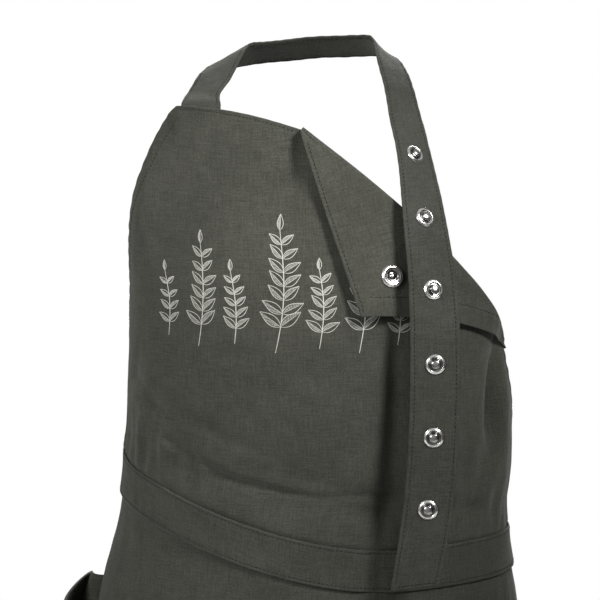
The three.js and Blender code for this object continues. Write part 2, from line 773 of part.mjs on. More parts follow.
// Plain knot with two tails that hang from it, behind the small of the back.
function knotGeometry() {
  const drop = (beltDrop(-BIB_BELT_HALF) + beltDrop(BIB_BELT_HALF) + BAND_HEIGHT) / 2;
  const seatPoint = onBody(halfGirth(drop), drop, CLOTH + GAP + KNOT_PROUD);
  const body = new THREE.SphereGeometry(0.5, ROUND_SIDES, ROUND_SIDES / 2);
  body.scale(KNOT_WIDTH, KNOT_DEPTH, KNOT_HEIGHT);
  body.translate(seatPoint.x, seatPoint.y, seatPoint.z);
  let solid = toSolid(body);
  for (const side of [-1, 1]) {
    const tail = new Sheet();
    const rows = steps(TAIL_STEPS).map((share) =>
      [-0.5, 0.5].map((over) => {
        const width = TIE_WIDTH * lerp(TAIL.narrow, TAIL.wide, smooth(3 * share));
        const x = side * KNOT_WIDTH * lerp(TAIL.start, TAIL.end, Math.sqrt(share));
        const y = side * 2 * CLOTH + TAIL.sway * TAIL_LENGTH * Math.sin(Math.PI * share);
        return new THREE.Vector3(
          seatPoint.x + x - over * width,
          seatPoint.y + y,
          seatPoint.z - share * TAIL_LENGTH,
        );
      }),
    );
    tail.grid(rows);
    solid = solid.add(toSolid(tail.wall(CLOTH)));
  }
  return fromSolid(solid);
}

place("waist_tie_left", tieGeometry(-1), COLOURS.cloth, false);
place("waist_tie_right", tieGeometry(1), COLOURS.cloth, false);
place("tie_knot", knotGeometry(), COLOURS.cloth, false);

export default group;
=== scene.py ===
import math

import bpy
import numpy as np
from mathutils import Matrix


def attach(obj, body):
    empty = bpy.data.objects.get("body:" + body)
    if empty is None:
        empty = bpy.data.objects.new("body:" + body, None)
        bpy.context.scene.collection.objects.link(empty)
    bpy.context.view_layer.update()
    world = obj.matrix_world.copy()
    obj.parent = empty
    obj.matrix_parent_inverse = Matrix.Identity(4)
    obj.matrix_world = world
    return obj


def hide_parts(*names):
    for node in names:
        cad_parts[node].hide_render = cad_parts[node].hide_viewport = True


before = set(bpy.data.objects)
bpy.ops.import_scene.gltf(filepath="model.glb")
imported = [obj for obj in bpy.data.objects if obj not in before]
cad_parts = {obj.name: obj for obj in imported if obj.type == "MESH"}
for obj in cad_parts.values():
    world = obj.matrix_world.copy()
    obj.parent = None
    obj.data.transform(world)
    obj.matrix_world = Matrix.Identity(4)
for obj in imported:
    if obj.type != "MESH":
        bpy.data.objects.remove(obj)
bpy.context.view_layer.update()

# A gardening apron of dark cotton, held up at the back of the neck.
# Lengths here are millimetres, and MM turns them into the frame's metres.
# "drop" is a depth below the neck, "s" a length round the body from its front.
MM = 0.001

# Driving sizes of the apron
CLOTH = 1.3
SOLID_CLOTH = 1.4
GAP = 0.4
BODY_HALF = 160
BODY_REACH = 171
SIDE_RADIUS = 78
FRONT_TURN = math.radians(50)
BELT_DROP = 399
BELT_RISE = 73
BELT_LEVEL_FROM = 0.3
BELT_SLOPE_SPAN = 1.4
SKIRT_DROP = 455
BIB_TOP_HALF = 127
BIB_TOP_DROP = 43
BIB_BELT_HALF = 262
ARMHOLE_CURVE = 0.7
TOP_EDGE_BOW = 6
FOLD_START = (-13, 58)
FOLD_END = (192, 243)
FOLD_BOW = 9
FOLD_RADIUS = 2.4
FLAP_CORNER = (31, 203)
FLAP_HEM_BOW = 11
FLAP_LIFT = 7
FLAP_RISE_REACH = 0.6
STRAP_WIDTH = 40
STRAP_THICKNESS = 1.8
STRAP_TUCK = 28
STRAP_TUCK_PLACE = 0.55
STRAP_TUCK_AHEAD = 0.65
STRAP_INSET = 5.4
SNAP_PITCH = 59
SNAP_END_MARGIN = 66
SNAP_COUNT = 6
STUD_RADIUS = 8.0
SOCKET_RADIUS = 9.2
SOCKET_FROM_HEM = 33
SOCKET_FROM_EDGE = 26
FLAP_CAP_SHARE = 0.92
METAL_LIFT = 0.2
BAND_HEIGHT = 34
BAND_OVERLAP = 4
SKIRT_HEM_HALF = 325
SKIRT_TOP_GAP = 3 * SOLID_CLOTH
HEM_FOLLOWS_BELT = 0.25
POCKET_WIDTH = 150
POCKET_HEIGHT = 175
POCKET_DEPTH = 27
POCKET_START = 130
POCKET_BELOW_BELT = 128
POCKET_SAG = 16
POCKET_SEAM = 0.4
POCKET_TAPER = 0.35
POCKET_PLEAT = 7.0
TIE_WIDTH = 28
TIE_TAPER = 0.6
TIE_EDGE = 1.5
KNOT_WIDTH = 34
KNOT_HEIGHT = 26
KNOT_DEPTH = 16
KNOT_PROUD = 3
TAIL_LENGTH = 210

# Body form: level (0 neck, 1 belt, 2 hem), then shares of half width, reach,
# side radius and half width again for the sideways shift.
FORM = np.array([
    (0.05, 0.8, 0.74, 0.92, 0),
    (0.28, 0.957, 0.877, 0.96, 0),
    (0.5, 0.98, 1, 0.97, 0.016),
    (0.755, 1, 0.97, 1, 0.017),
    (0.88, 1.008, 0.935, 1, 0.008),
    (1, 1.022, 0.912, 1.02, -0.022),
    (1.16, 1.11, 0.947, 1.08, -0.045),
    (1.38, 1.17, 0.994, 1.13, -0.045),
    (2.02, 1.28, 1.04, 1.18, -0.03),
])

# Large soft folds of the bib: s share, level, tilt, long, wide, rise.
BIB_FOLDS = [
    (-0.63, 0.33, 70, 0.13, 0.07, 0.03),
    (-0.3, 0.86, -12, 0.4, 0.035, -0.013),
    (0.3, 0.92, -4, 0.4, 0.035, -0.014),
    (0.02, 0.93, 88, 0.08, 0.03, 0.012),
    (-0.62, 0.82, 76, 0.16, 0.03, 0.016),
    (-0.5, 0.84, 80, 0.14, 0.03, 0.013),
    (0.62, 0.9, 84, 0.16, 0.035, 0.02),
    (0.5, 0.86, 96, 0.18, 0.03, -0.012),
    (0.05, 0.4, -62, 0.3, 0.09, -0.022),
    (0.73, 0.6, -50, 0.14, 0.1, -0.028),
]

# Small creases and puckers of the bib, in mm: s, drop, tilt, long, wide, rise.
BIB_CREASES = [
    (-150, 288, -18, 26, 3.2, -2.4),
    (-112, 322, -24, 46, 3.4, -2.8),
    (-40, 346, -10, 54, 3.4, -2.4),
    (40, 352, -2, 50, 3.4, -2.0),
    (130, 372, 8, 34, 3.0, -1.1),
    (-38, 370, 88, 16, 3.0, 1.0),
    (-172, 314, 76, 38, 6, 2.6),
    (-159, 322, 82, 36, 5, -2.6),
    (-143, 328, 78, 38, 6, 2.8),
    (-126, 338, 84, 32, 5, -2.4),
    (-104, 342, 80, 36, 7, 1.8),
    (150, 372, 84, 40, 6, 1.8),
    (166, 366, 96, 44, 6, -1.6),
    (182, 360, 88, 40, 7, 1.6),
    (60, 330, 20, 60, 9, 0.9),
    (-60, 260, 35, 70, 12, 0.8),
    (-108, 80, 55, 22, 5, 1.0),
    (-92, 78, 80, 18, 5, -0.8),
    (-30, 90, 20, 26, 6, 0.9),
    (-12, 84, -30, 22, 5, -0.8),
    (10, 240, 75, 60, 10, -1.0),
    (110, 300, 60, 60, 9, 1.6),
    (-70, 190, 78, 60, 16, 1.5),
    (-120, 175, 66, 60, 13, -1.6),
    (-40, 310, 70, 60, 14, -1.6),
    (5, 300, 84, 70, 13, 1.4),
    (61, 260, 88, 60, 8, -3.0),
    (60, 345, 88, 90, 14, -6.5),
    (28, 335, 86, 80, 11, 2.0),
    (168, 282, 86, 37, 11, -18.0),
    (150, 345, 80, 34, 9, -2.5),
    (-21, 98, 74, 46, 13, -8.0),
    (-22, 118, 60, 34, 10, 1.2),
    (-176, 250, 62, 30, 7, -1.4),
    (-160, 262, 50, 36, 9, 1.2),
    (-118, 372, 80, 30, 5, -1.6),
    (-96, 378, 86, 26, 5, 1.3),
    (-78, 384, 82, 24, 4.5, -1.3),
    (30, 380, 84, 22, 5, -1.0),
    (-150, 285, -38, 46, 6, -1.5),
    (60, 388, 4, 70, 2.6, -1.2),
    (0, 383, 2, 60, 2.8, 0.9),
    (-92, 300, -22, 80, 7, -1.2),
    (20, 345, -12, 90, 6, -1.1),
]

# Skirt folds: s share, wide, rise, starts.
SKIRT_FOLDS = [
    (-0.86, 0.07, 0.06, 0.5),
    (-0.36, 0.06, 0.085, 0.12),
    (-0.16, 0.07, -0.05, 0.2),
    (0.05, 0.07, 0.08, 0.15),
    (0.2, 0.06, -0.06, 0.05),
    (0.37, 0.06, 0.075, 0.14),
    (0.88, 0.07, 0.06, 0.5),
]

# Strap route: x, y and drop shares, then the direction over its width.
STRAP = [
    (-0.722, -0.43, 0.082, 0.65, -0.76, 0),
    (-0.67, -0.339, 0.057, 0.69, -0.72, 0.01),
    (-0.615, -0.24, 0.03, 0.79, -0.54, 0.3),
    (-0.57, -0.137, 0.015, 0.82, -0.29, 0.49),
    (-0.486, -0.07, 0.015, 0.59, -0.57, 0.58),
    (-0.378, -0.035, 0.012, 0.33, -0.79, 0.52),
    (0, 0, 0, 0, -0.87, 0.49),
    (0.223, -0.026, -0.003, 0, -0.87, 0.49),
    (0.346, -0.079, -0.005, -0.15, -0.85, 0.49),
    (0.41, -0.143, -0.004, -0.32, -0.83, 0.43),
    (0.449, -0.216, 0.007, -0.47, -0.84, 0.27),
    (0.484, -0.301, 0.03, -0.54, -0.84, 0.11),
    (0.521, -0.389, 0.064, -0.57, -0.82, -0.04),
    (0.562, -0.523, 0.122, -0.62, -0.78, -0.1),
    (0.618, -0.693, 0.203, -0.68, -0.73, -0.05),
    (0.67, -0.883, 0.312, -0.84, -0.54, -0.02),
    (0.721, -1.012, 0.449, -0.95, -0.3, -0.02),
    (0.738, -1.061, 0.595, -1, -0.03, 0),
    (0.73, -1.061, 0.748, -1, 0.03, 0),
    (0.7, -1.05, 0.891, -1, 0.08, -0.02),
    (0.618, -1.041, 1.06, -0.98, 0.15, -0.16),
]


def smooth(t):
    c = np.clip(t, 0, 1)
    return c * c * (3 - 2 * c)


def lerp(a, b, t):
    return a + (b - a) * t


def bell(x, wide=1.0):
    return np.exp(-((x / wide) ** 2))


def uneven(x, length, sway, slow, start=0.0, slow_start=0.0):
    """Wave whose length wanders along x."""
    return np.sin(2 * math.pi * x / length + start + sway * np.sin(x / slow + slow_start))


def table_curve(keys, values, at):
    """Smooth curve through table rows, as the solids use it."""
    keys = np.asarray(keys, float)
    values = np.asarray(values, float)
    x = np.clip(np.asarray(at, float), keys[0], keys[-1])
    i = np.clip(np.searchsorted(keys, x, side="left") - 1, 0, len(keys) - 2)
    before = np.maximum(np.arange(len(keys)) - 1, 0)
    after = np.minimum(np.arange(len(keys)) + 1, len(keys) - 1)
    slope = (values[after] - values[before]) / (keys[after] - keys[before])
    step = keys[i + 1] - keys[i]
    t = (x - keys[i]) / step
    t2 = t * t
    t3 = t2 * t
    return (
        values[i] * (2 * t3 - 3 * t2 + 1)
        + slope[i] * step * (t3 - 2 * t2 + t)
        + values[i + 1] * (3 * t2 - 2 * t3)
        + slope[i + 1] * step * (t3 - t2)
    )


def section(drop):
    """Radii, front, shift and arc lengths of the body form at a depth."""
    drop = np.asarray(drop, float)
    level = np.where(drop < BELT_DROP, drop / BELT_DROP, 1 + (drop - BELT_DROP) / SKIRT_DROP)
    half, reach, side, shift = (table_curve(FORM[:, 0], FORM[:, k], level) for k in range(1, 5))
    side = SIDE_RADIUS * side
    wide = (BODY_HALF * half - side * (1 - math.sin(FRONT_TURN))) / math.sin(FRONT_TURN)
    arcs = (wide * FRONT_TURN, side * (math.pi - 2 * FRONT_TURN))
    return wide, side, -BODY_REACH * reach, BODY_HALF * shift, *arcs


def on_body(s, drop, off=0.0):
    """Points on the body form, stood off along the level normal, in mm."""
    s, drop, off = np.broadcast_arrays(np.asarray(s, float), drop, off)
    wide, side, front, shift, front_arc, side_arc = section(drop)
    m = np.abs(s)
    turn = FRONT_TURN
    first = np.minimum(m, front_arc) / wide
    second = np.clip(m - front_arc, 0, side_arc) / side
    third = np.maximum(m - front_arc - side_arc, 0) / wide
    a1 = first
    a2 = turn + second
    a3 = a2 + third
    x = wide * np.sin(a1)
    x = x + np.where(m > front_arc, side * (np.sin(a2) - math.sin(turn)), 0)
    x = x + wide * (np.sin(a3) - np.sin(a2)) * (third > 0)
    y = wide * (1 - np.cos(a1))
    y = y + np.where(m > front_arc, side * (math.cos(turn) - np.cos(a2)), 0)
    y = y + wide * (np.cos(a2) - np.cos(a3)) * (third > 0)
    angle = np.where(m > front_arc, a3, a1)
    return np.stack([
        shift + np.sign(s) * (x + off * np.sin(angle)),
        front + y - off * np.cos(angle),
        -drop,
    ], axis=-1)


def half_girth(drop):
    front_arc, side_arc = section(drop)[4:]
    return float(2 * front_arc + side_arc)


def belt_drop(s):
    past = BELT_LEVEL_FROM * BIB_BELT_HALF - np.asarray(s, float)
    level = past / (BELT_SLOPE_SPAN * BIB_BELT_HALF)
    return BELT_DROP - BELT_RISE * smooth(level)


def ridge(s, drop, at_s, at_drop, tilt, long, wide):
    """Share of a soft ridge at each place, 1 on its crest."""
    t = math.radians(tilt)
    dx = s - at_s
    dz = at_drop - drop
    along = (dx * math.cos(t) + dz * math.sin(t)) / long
    over = (dz * math.cos(t) - dx * math.sin(t)) / wide
    return np.exp(-along * along - over * over)


RIPPLE_SINES = 14


def waves(s, drop, seed, size):
    """Gentle uneven ripples of cloth: sums of sines, the same each run."""
    rng = np.random.RandomState(seed)
    out = np.zeros(np.broadcast(s, drop).shape)
    for sine in range(RIPPLE_SINES):
        angle = rng.uniform(0, math.pi)
        length = size * rng.uniform(0.6, 1.7)
        phase = rng.uniform(0, 2 * math.pi)
        bend = rng.uniform(-0.6, 0.6)
        u = s * math.cos(angle) + drop * math.sin(angle)
        v = drop * math.cos(angle) - s * math.sin(angle)
        out += np.sin(2 * math.pi * u / length + phase + bend * np.sin(v / length))
    return out / math.sqrt(RIPPLE_SINES)


def bib_fold(s, drop):
    """Stand-off of the bib: large folds, creases, ripples and gathers above the band."""
    off = 0
    for at, level, tilt, long, wide, rise in BIB_FOLDS:
        size = BIB_BELT_HALF
        crest = ridge(s, drop, at * size, level * BELT_DROP, tilt, long * size, wide * size)
        off = off + rise * BODY_HALF * crest
    for at_s, at_drop, tilt, long, wide, rise in BIB_CREASES:
        off = off + rise * ridge(s, drop, at_s, at_drop, tilt, long, wide)
    off = off + 0.35 * waves(s, drop, 3, 70) + 0.12 * waves(s, drop, 5, 24)
    above = belt_drop(s) - drop
    left = smooth((-s - 70) / 90)
    gather = (0.25 + 0.75 * left) * uneven(s, 17, 2.7, 31)
    gather = gather * (0.4 + 0.6 * np.sin(s / 19 + 0.7) ** 2) * bell(above, 42)
    puff = 1.5 * bell(above, 15)
    return off * smooth(above / BAND_HEIGHT) + (puff + 1.5 * gather) * smooth(above / 3.5)


def bowed(a, b, bow, t):
    return lerp(a[0], b[0], t), lerp(a[1], b[1], t) - bow * 4 * t * (1 - t)


TOP_CORNER = (-BIB_TOP_HALF, BIB_TOP_DROP)
KINK = 8 / 28


def fold_line(t):
    return bowed(FOLD_START, FOLD_END, FOLD_BOW, t)


def bib_top(u):
    s1, d1 = bowed(TOP_CORNER, FOLD_START, TOP_EDGE_BOW, np.minimum(u / KINK, 1))
    s2, d2 = fold_line(np.clip((u - KINK) / (1 - KINK), 0, 1))
    return np.where(u < KINK, s1, s2), np.where(u < KINK, d1, d2)


def bib_foot(s):
    return s, belt_drop(s) + BAND_OVERLAP


def bib_side(v, right):
    start = FOLD_END if right else TOP_CORNER
    end = bib_foot(BIB_BELT_HALF if right else -BIB_BELT_HALF)
    share = v if right else v ** ARMHOLE_CURVE
    return lerp(start[0], end[0], share), lerp(start[1], end[1], v)


def bib_place(u, v):
    """Place on the flat bib by shares of its width and height, blended from its four edges."""
    top = bib_top(u)
    foot = bib_foot(lerp(-BIB_BELT_HALF, BIB_BELT_HALF, u))
    left = bib_side(v, False)
    right = bib_side(v, True)
    low_left = bib_side(1, False)
    low_right = bib_side(1, True)
    out = []
    for k in (0, 1):
        edges = lerp(top[k], foot[k], v) + lerp(left[k], right[k], u)
        upper = lerp(TOP_CORNER[k], FOLD_END[k], u)
        lower = lerp(low_left[k], low_right[k], u)
        out.append(edges - lerp(upper, lower, v))
    return out


SLOPE = np.subtract(FOLD_END, FOLD_START)
FOLD_LENGTH = math.hypot(*SLOPE)
FLAP_SPLIT = float(SLOPE @ np.subtract(FLAP_CORNER, FOLD_START)) / FOLD_LENGTH ** 2


def flap_edge(t):
    """Free edge of the turned corner: its side to the corner, then its hem."""
    side = bowed(FOLD_START, FLAP_CORNER, 0, np.clip(t / FLAP_SPLIT, 0, 1))
    hem = np.clip((t - FLAP_SPLIT) / (1 - FLAP_SPLIT), 0, 1)
    foot = bowed(FLAP_CORNER, FOLD_END, FLAP_HEM_BOW, hem)
    return [np.where(t < FLAP_SPLIT, side[k], foot[k]) for k in (0, 1)]


def roll_radius(t):
    """Radius of the fold, which closes up at its outer end."""
    return FOLD_RADIUS * (1 - 0.75 * smooth((t - 0.92) / 0.08))


def flap_place(t, w):
    """Place and stand-off on the turned corner by shares along and away from its fold."""
    a = fold_line(t)
    b = flap_edge(t)
    far = np.hypot(b[0] - a[0], b[1] - a[1]) * w
    rise = FLAP_LIFT * smooth(far / (FLAP_RISE_REACH * FOLD_END[0]))
    return lerp(a[0], b[0], w), lerp(a[1], b[1], w), 2 * roll_radius(t) + rise


# Mesh helpers


WELD = 0.02


class Sheet:
    """Points and quads of one sheet of cloth, with a flat place for each point."""

    def __init__(self):
        self.points = []
        self.flats = []
        self.extras = []
        self.faces = []
        self.count = 0

    def grid(self, points, flats, extra=0.0):
        """points is rows x columns x 3 in mm, rows running down, seen from outside."""
        rows, columns = points.shape[:2]
        ids = self.count + np.arange(rows * columns).reshape(rows, columns)
        self.points.append(points.reshape(-1, 3))
        self.flats.append(np.stack(np.broadcast_arrays(*flats), axis=-1).reshape(-1, 2))
        self.extras.append(np.broadcast_to(extra, (rows, columns)).ravel())
        self.count += rows * columns
        quads = np.stack([ids[:-1, :-1], ids[1:, :-1], ids[1:, 1:], ids[:-1, 1:]], axis=-1)
        self.faces.append(quads.reshape(-1, 4))
        return ids

    def wall(self, name, thickness, material):
        """Closed wall of even thickness about the sheet, as a new object."""
        points = np.concatenate(self.points)
        flats = np.concatenate(self.flats)
        extras = np.concatenate(self.extras)
        quads = np.concatenate(self.faces)
        keys = np.round(points / WELD).astype(np.int64)
        first, index = np.unique(keys, axis=0, return_index=True, return_inverse=True)[1:]
        index = index.reshape(-1)
        points = points[first]
        flats = flats[first]
        extras = extras[first]
        quads = index[quads]
        normals = np.zeros_like(points)
        for a, b, c in ((0, 1, 2), (0, 2, 3)):
            n = np.cross(
                points[quads[:, b]] - points[quads[:, a]], points[quads[:, c]] - points[quads[:, a]])
            for k in (a, b, c):
                np.add.at(normals, quads[:, k], n)
        normals /= np.maximum(np.linalg.norm(normals, axis=1), 1e-9)[:, None]
        count = len(points)
        half = (thickness + extras)[:, None] / 2
        both = np.concatenate([points + normals * half, points - normals * half])
        faces = []
        seen = {}
        for quad in quads.tolist():
            ring = [q for k, q in enumerate(quad) if q != quad[k - 1]]
            if len(set(ring)) < 3:
                continue
            faces.append(ring)
            for k, q in enumerate(ring):
                edge = (q, ring[(k + 1) % len(ring)])
                seen[edge] = seen.get(edge, 0) + 1
        inner = [[q + count for q in reversed(ring)] for ring in faces]
        rims = [[q, p, p + count, q + count] for (p, q) in seen if (q, p) not in seen]
        both_flats = np.concatenate([flats, flats])
        return make_mesh(name, both, faces + inner + rims, material, both_flats)


def lone_sheet(name, points, flats, extra, material, thickness=CLOTH):
    """Closed wall of cloth about one grid of points."""
    sheet = Sheet()
    sheet.grid(points, flats, extra)
    return sheet.wall(name, thickness, material)


def make_mesh(name, points, faces, material, flats=None, shade=True):
    """New object from points in mm, riding on the apron."""
    mesh = bpy.data.meshes.new(name)
    mesh.from_pydata((np.asarray(points) * MM).tolist(), [], faces)
    mesh.validate()
    if flats is not None and len(mesh.vertices) == len(flats):
        values = np.zeros((len(flats), 3), np.float32)
        values[:, :2] = flats
        layer = mesh.attributes.new("cloth_mm", "FLOAT_VECTOR", "POINT")
        layer.data.foreach_set("vector", values.ravel())
    mesh.materials.append(material)
    if shade:
        mesh.shade_smooth()
    mesh.update()
    piece = bpy.data.objects.new(name, mesh)
    bpy.context.scene.collection.objects.link(piece)
    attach(piece, "root")
    return piece


def unit(v):
    return v / np.maximum(np.linalg.norm(v, axis=-1), 1e-9)[..., None]


def facing(point_at, a, b, right, down):
    """Unit normal of a surface, from short steps to the right and down on it."""
    across = point_at(a + right[0], b + right[1]) - point_at(a - right[0], b - right[1])
    below = point_at(a + down[0], b + down[1]) - point_at(a - down[0], b - down[1])
    return unit(np.cross(below, across))


def lifted(point_at, a, b, off, right=(0.5, 0), down=(0, 0.5)):
    """Points stood off a surface along its own normal, and that normal."""
    normal = facing(point_at, a, b, right, down)
    return point_at(a, b) + normal * off, normal


def flat_path(s, drop):
    return np.stack(np.broadcast_arrays(np.asarray(s, float), drop), axis=-1)


def row_at(place, far, rows):
    """Row of a table of coordinates at a length along it."""
    return np.array([np.interp(place, far, rows[:, k]) for k in range(rows.shape[1])])


def loft_faces(rings, sides, base=0, clockwise=False):
    """Quads between rings of points, with a cap on each end."""
    faces = []
    for ring in range(rings - 1):
        for k in range(sides):
            a = base + sides * ring + k
            b = base + sides * ring + (k + 1) % sides
            faces.append([a, a + sides, b + sides, b] if clockwise else [a, b, b + sides, a + sides])
    first = list(range(base, base + sides))
    last = [p + sides * (rings - 1) for p in first]
    return faces + ([first, last[::-1]] if clockwise else [first[::-1], last])


def near(path, s, drop):
    """Distance from each place to a flat polyline, and how far along it."""
    shape = np.shape(s)
    p = np.stack([np.ravel(s), np.ravel(drop)], axis=-1)
    best = np.full(len(p), 1e9)
    along = np.zeros(len(p))
    start = 0.0
    for a, b in zip(path[:-1], path[1:]):
        ab = b - a
        length = max(float(np.hypot(*ab)), 1e-9)
        t = np.clip(((p - a) @ ab) / length ** 2, 0, 1)
        d = np.hypot(*(p - a - t[:, None] * ab).T)
        closer = d < best
        best = np.where(closer, d, best)
        along = np.where(closer, start + t * length, along)
        start += length
    return best.reshape(shape), along.reshape(shape)


def inside(path, distance):
    """The same flat path moved to its left, seen with drop growing downwards."""
    travel = np.gradient(path, axis=0)
    travel /= np.maximum(np.hypot(*travel.T), 1e-9)[:, None]
    return path + distance * np.stack([travel[:, 1], -travel[:, 0]], axis=-1)


HEM_RISE = 0.8
STITCH_INSET = 1.6
STITCH_PITCH = 3.5
STITCH_LENGTH = 2.5
STITCH_WIDTH = 0.8
STITCH_HEIGHT = 0.5
STITCH_SUNK = 0.3
STITCH_RINGS = ((-0.5, 0.15), (-0.3, 0.95), (0.3, 0.95), (0.5, 0.15))


def hem(distance, along, width, pucker=0.3, seed=0.0):
    """Thicker turned edge with a sunk stitch line: stand-off and extra thickness."""
    extra = HEM_RISE * smooth((width - distance) / 1.5 + 0.5)
    groove = -0.5 * bell(distance - (width - STITCH_INSET), 1.3)
    swell = 0.45 + 0.55 * np.sin(along / 17 + 2 * seed) ** 2
    wave = uneven(along, 12.5, 2.6, 29, seed, seed) * swell
    ripple = pucker * wave * bell(distance, 1.3 * width)
    return groove * (1 + 0.4 * wave) + ripple, extra


def stitches(name, runs):
    """Rows of short raised stitches along paths of points and normals."""
    points = []
    faces = []
    for path, normals in runs:
        far = np.concatenate([[0], np.cumsum(np.linalg.norm(np.diff(path, axis=0), axis=1))])
        for place in np.arange(0.5 * STITCH_PITCH, far[-1] - 0.4 * STITCH_PITCH, STITCH_PITCH):
            centre = row_at(place, far, path)
            normal = unit(row_at(place, far, normals))
            travel = unit(row_at(place + 0.6, far, path) - row_at(place - 0.6, far, path))
            over = np.cross(normal, travel)
            faces += loft_faces(len(STITCH_RINGS), 4, len(points), True)
            for step, size in STITCH_RINGS:
                middle = centre + travel * step * STITCH_LENGTH
                side = over * 0.5 * STITCH_WIDTH * size
                high = normal * STITCH_HEIGHT * size
                points += [middle + side, middle + high, middle - side, middle - normal * STITCH_SUNK]
    return make_mesh(name, points, faces, dark_thread_with_painted_shade)


def run_on(point_at, s, drop, off):
    """A stitch run on a surface along a flat path."""
    s, drop = np.broadcast_arrays(np.asarray(s, float), drop)
    return lifted(point_at, s, drop, off)


# Materials


class Graph:
    """Small helper that adds nodes to one material or world."""

    def __init__(self, owner):
        owner.use_nodes = True
        self.tree = owner.node_tree
        self.tree.nodes.clear()

    def add(self, kind, inputs=None, **settings):
        node = self.tree.nodes.new("ShaderNode" + kind)
        for key, value in settings.items():
            setattr(node, key, value)
        for key, value in (inputs or {}).items():
            if isinstance(value, bpy.types.NodeSocket):
                self.tree.links.new(value, node.inputs[key])
            else:
                node.inputs[key].default_value = value
        return node

    def maths(self, operation, a, b=0.0):
        return self.add("Math", {0: a, 1: b}, operation=operation).outputs[0]

    def times(self, a, b):
        return self.maths("MULTIPLY", a, b)

    def plus(self, a, b):
        return self.maths("ADD", a, b)

    def ramp(self, value, low, high, to_low=0.0, to_high=1.0):
        node = self.add("MapRange", {
            "Value": value, "From Min": low, "From Max": high, "To Min": to_low, "To Max": to_high,
        }, interpolation_type="SMOOTHSTEP")
        return node.outputs["Result"]

    def mix(self, share, a, b):
        return self.add("Mix", {0: share, 6: a, 7: b}, data_type="RGBA").outputs[2]

    def noise(self, vector, scale, detail=3.0, rough=0.55):
        node = self.add("TexNoise", {
            "Vector": vector, "Scale": scale, "Detail": detail, "Roughness": rough})
        return node.outputs["Fac"]

    def stretched(self, vector, scale):
        return self.add("Mapping", {"Vector": vector, "Scale": scale}).outputs[0]

    def bump(self, inputs):
        return self.add("Bump", inputs).outputs[0]

    def surface(self, inputs):
        """Ends a material with one principled shader."""
        shader = self.add("BsdfPrincipled", inputs)
        self.add("OutputMaterial", {"Surface": shader.outputs[0]})


def rgb(r, g, b):
    return (r, g, b, 1.0)


def tinted(share, colour):
    return tuple(share * c for c in colour[:3]) + (1.0,)


def new_material(name):
    material = bpy.data.materials.new(name)
    return material, Graph(material)


THREAD_PITCH = 0.62


def cloth_material(name, base, pale, sheen):
    """Woven cotton: twill ribs, uneven threads, faded patches and a dry sheen."""
    material, g = new_material(name)
    place = g.add("Attribute", attribute_name="cloth_mm").outputs["Vector"]
    parts = g.add("SeparateXYZ", {0: place})
    bend = g.times(g.noise(place, 0.35, 3.0), 1.2)
    turns = 2 * math.pi / THREAD_PITCH
    ribs = [
        g.maths("SINE", g.times(g.plus(parts.outputs[k], bend), turns))
        for k in (0, 1)
    ]
    streaks = [
        g.times(g.noise(g.stretched(place, scale), 1.25, 3.0, 0.75), 0.5)
        for scale in ((0.85, 0.045, 1.0), (0.045, 0.85, 1.0))
    ]
    threads = g.plus(*streaks)
    patches = g.noise(place, 0.018, 4.0, 0.6)
    specks = g.noise(place, 0.7, 2.0, 0.7)
    tone = g.plus(g.times(threads, 0.75), g.times(patches, 0.25))
    colour = g.mix(g.ramp(tone, 0.4, 0.6), base, pale)
    colour = g.mix(g.ramp(specks, 0.52, 0.32, 0.0, 0.55), colour, tinted(0.62, base))
    colour = g.mix(g.ramp(specks, 0.56, 0.76, 0.0, 0.4), colour, tinted(1.5, pale))
    height = g.plus(g.times(g.times(*ribs), 0.35), g.times(specks, 1.2))
    height = g.plus(height, g.times(threads, 0.9))
    weave = g.bump({"Height": height, "Strength": 0.55, "Distance": 0.00016})
    crumple = g.bump({
        "Height": g.noise(place, 0.07, 3.0, 0.5), "Strength": 0.5, "Distance": 0.0022, "Normal": weave})
    g.surface({
        "Base Color": colour,
        "Roughness": g.ramp(patches, 0.3, 0.7, 0.86, 0.97),
        "Normal": crumple,
        "Specular IOR Level": 0.12,
        "Sheen Weight": sheen,
        "Sheen Roughness": 0.55,
        "Sheen Tint": (0.92, 0.93, 0.86, 1.0),
    })
    return material


def thread_material(name, base, pale):
    """Twisted sewing thread: fine slanting ply lines and uneven shade."""
    material, g = new_material(name)
    place = g.add("TexCoord").outputs["Object"]
    ply = g.add("TexWave", {
        "Vector": place, "Scale": 900.0, "Distortion": 2.0, "Detail": 1.0}, bands_direction="DIAGONAL")
    colour = g.mix(g.ramp(g.noise(place, 220.0, 2.0), 0.3, 0.7), base, pale)
    g.surface({
        "Base Color": colour,
        "Roughness": 0.85,
        "Normal": g.bump({"Height": ply.outputs["Fac"], "Strength": 0.5, "Distance": 0.0001}),
        "Specular IOR Level": 0.1,
        "Sheen Weight": 0.04,
    })
    return material


def metal_material(name, base, rough):
    """Nickel plate with turning marks, fine scratches and dull spots, with painted shade and painted
    dark reflections in its grooves and on its dome.
    """
    material, g = new_material(name)
    place = g.add("TexCoord").outputs["Object"]
    scratches = g.noise(g.stretched(place, (1.0, 0.12, 0.3)), 2600.0, 3.0, 0.7)
    dull = g.noise(place, 260.0, 3.0)
    painted_shade_share = g.add("Attribute", attribute_name="painted_shade_share").outputs["Fac"]
    colour = g.mix(g.ramp(dull, 0.45, 0.8, 0.0, 0.5), base, tinted(0.72, base))
    g.surface({
        # Painted shade and painted dark reflection: the colour darkens towards 6 percent of the nickel
        # where the per-point share is high.
        "Base Color": g.mix(painted_shade_share, colour, tinted(0.06, base)),
        "Metallic": 1.0,
        "Roughness": g.ramp(dull, 0.3, 0.75, rough, rough + 0.14),
        "Normal": g.bump({"Height": scratches, "Strength": 0.12, "Distance": 0.00006}),
    })
    return material


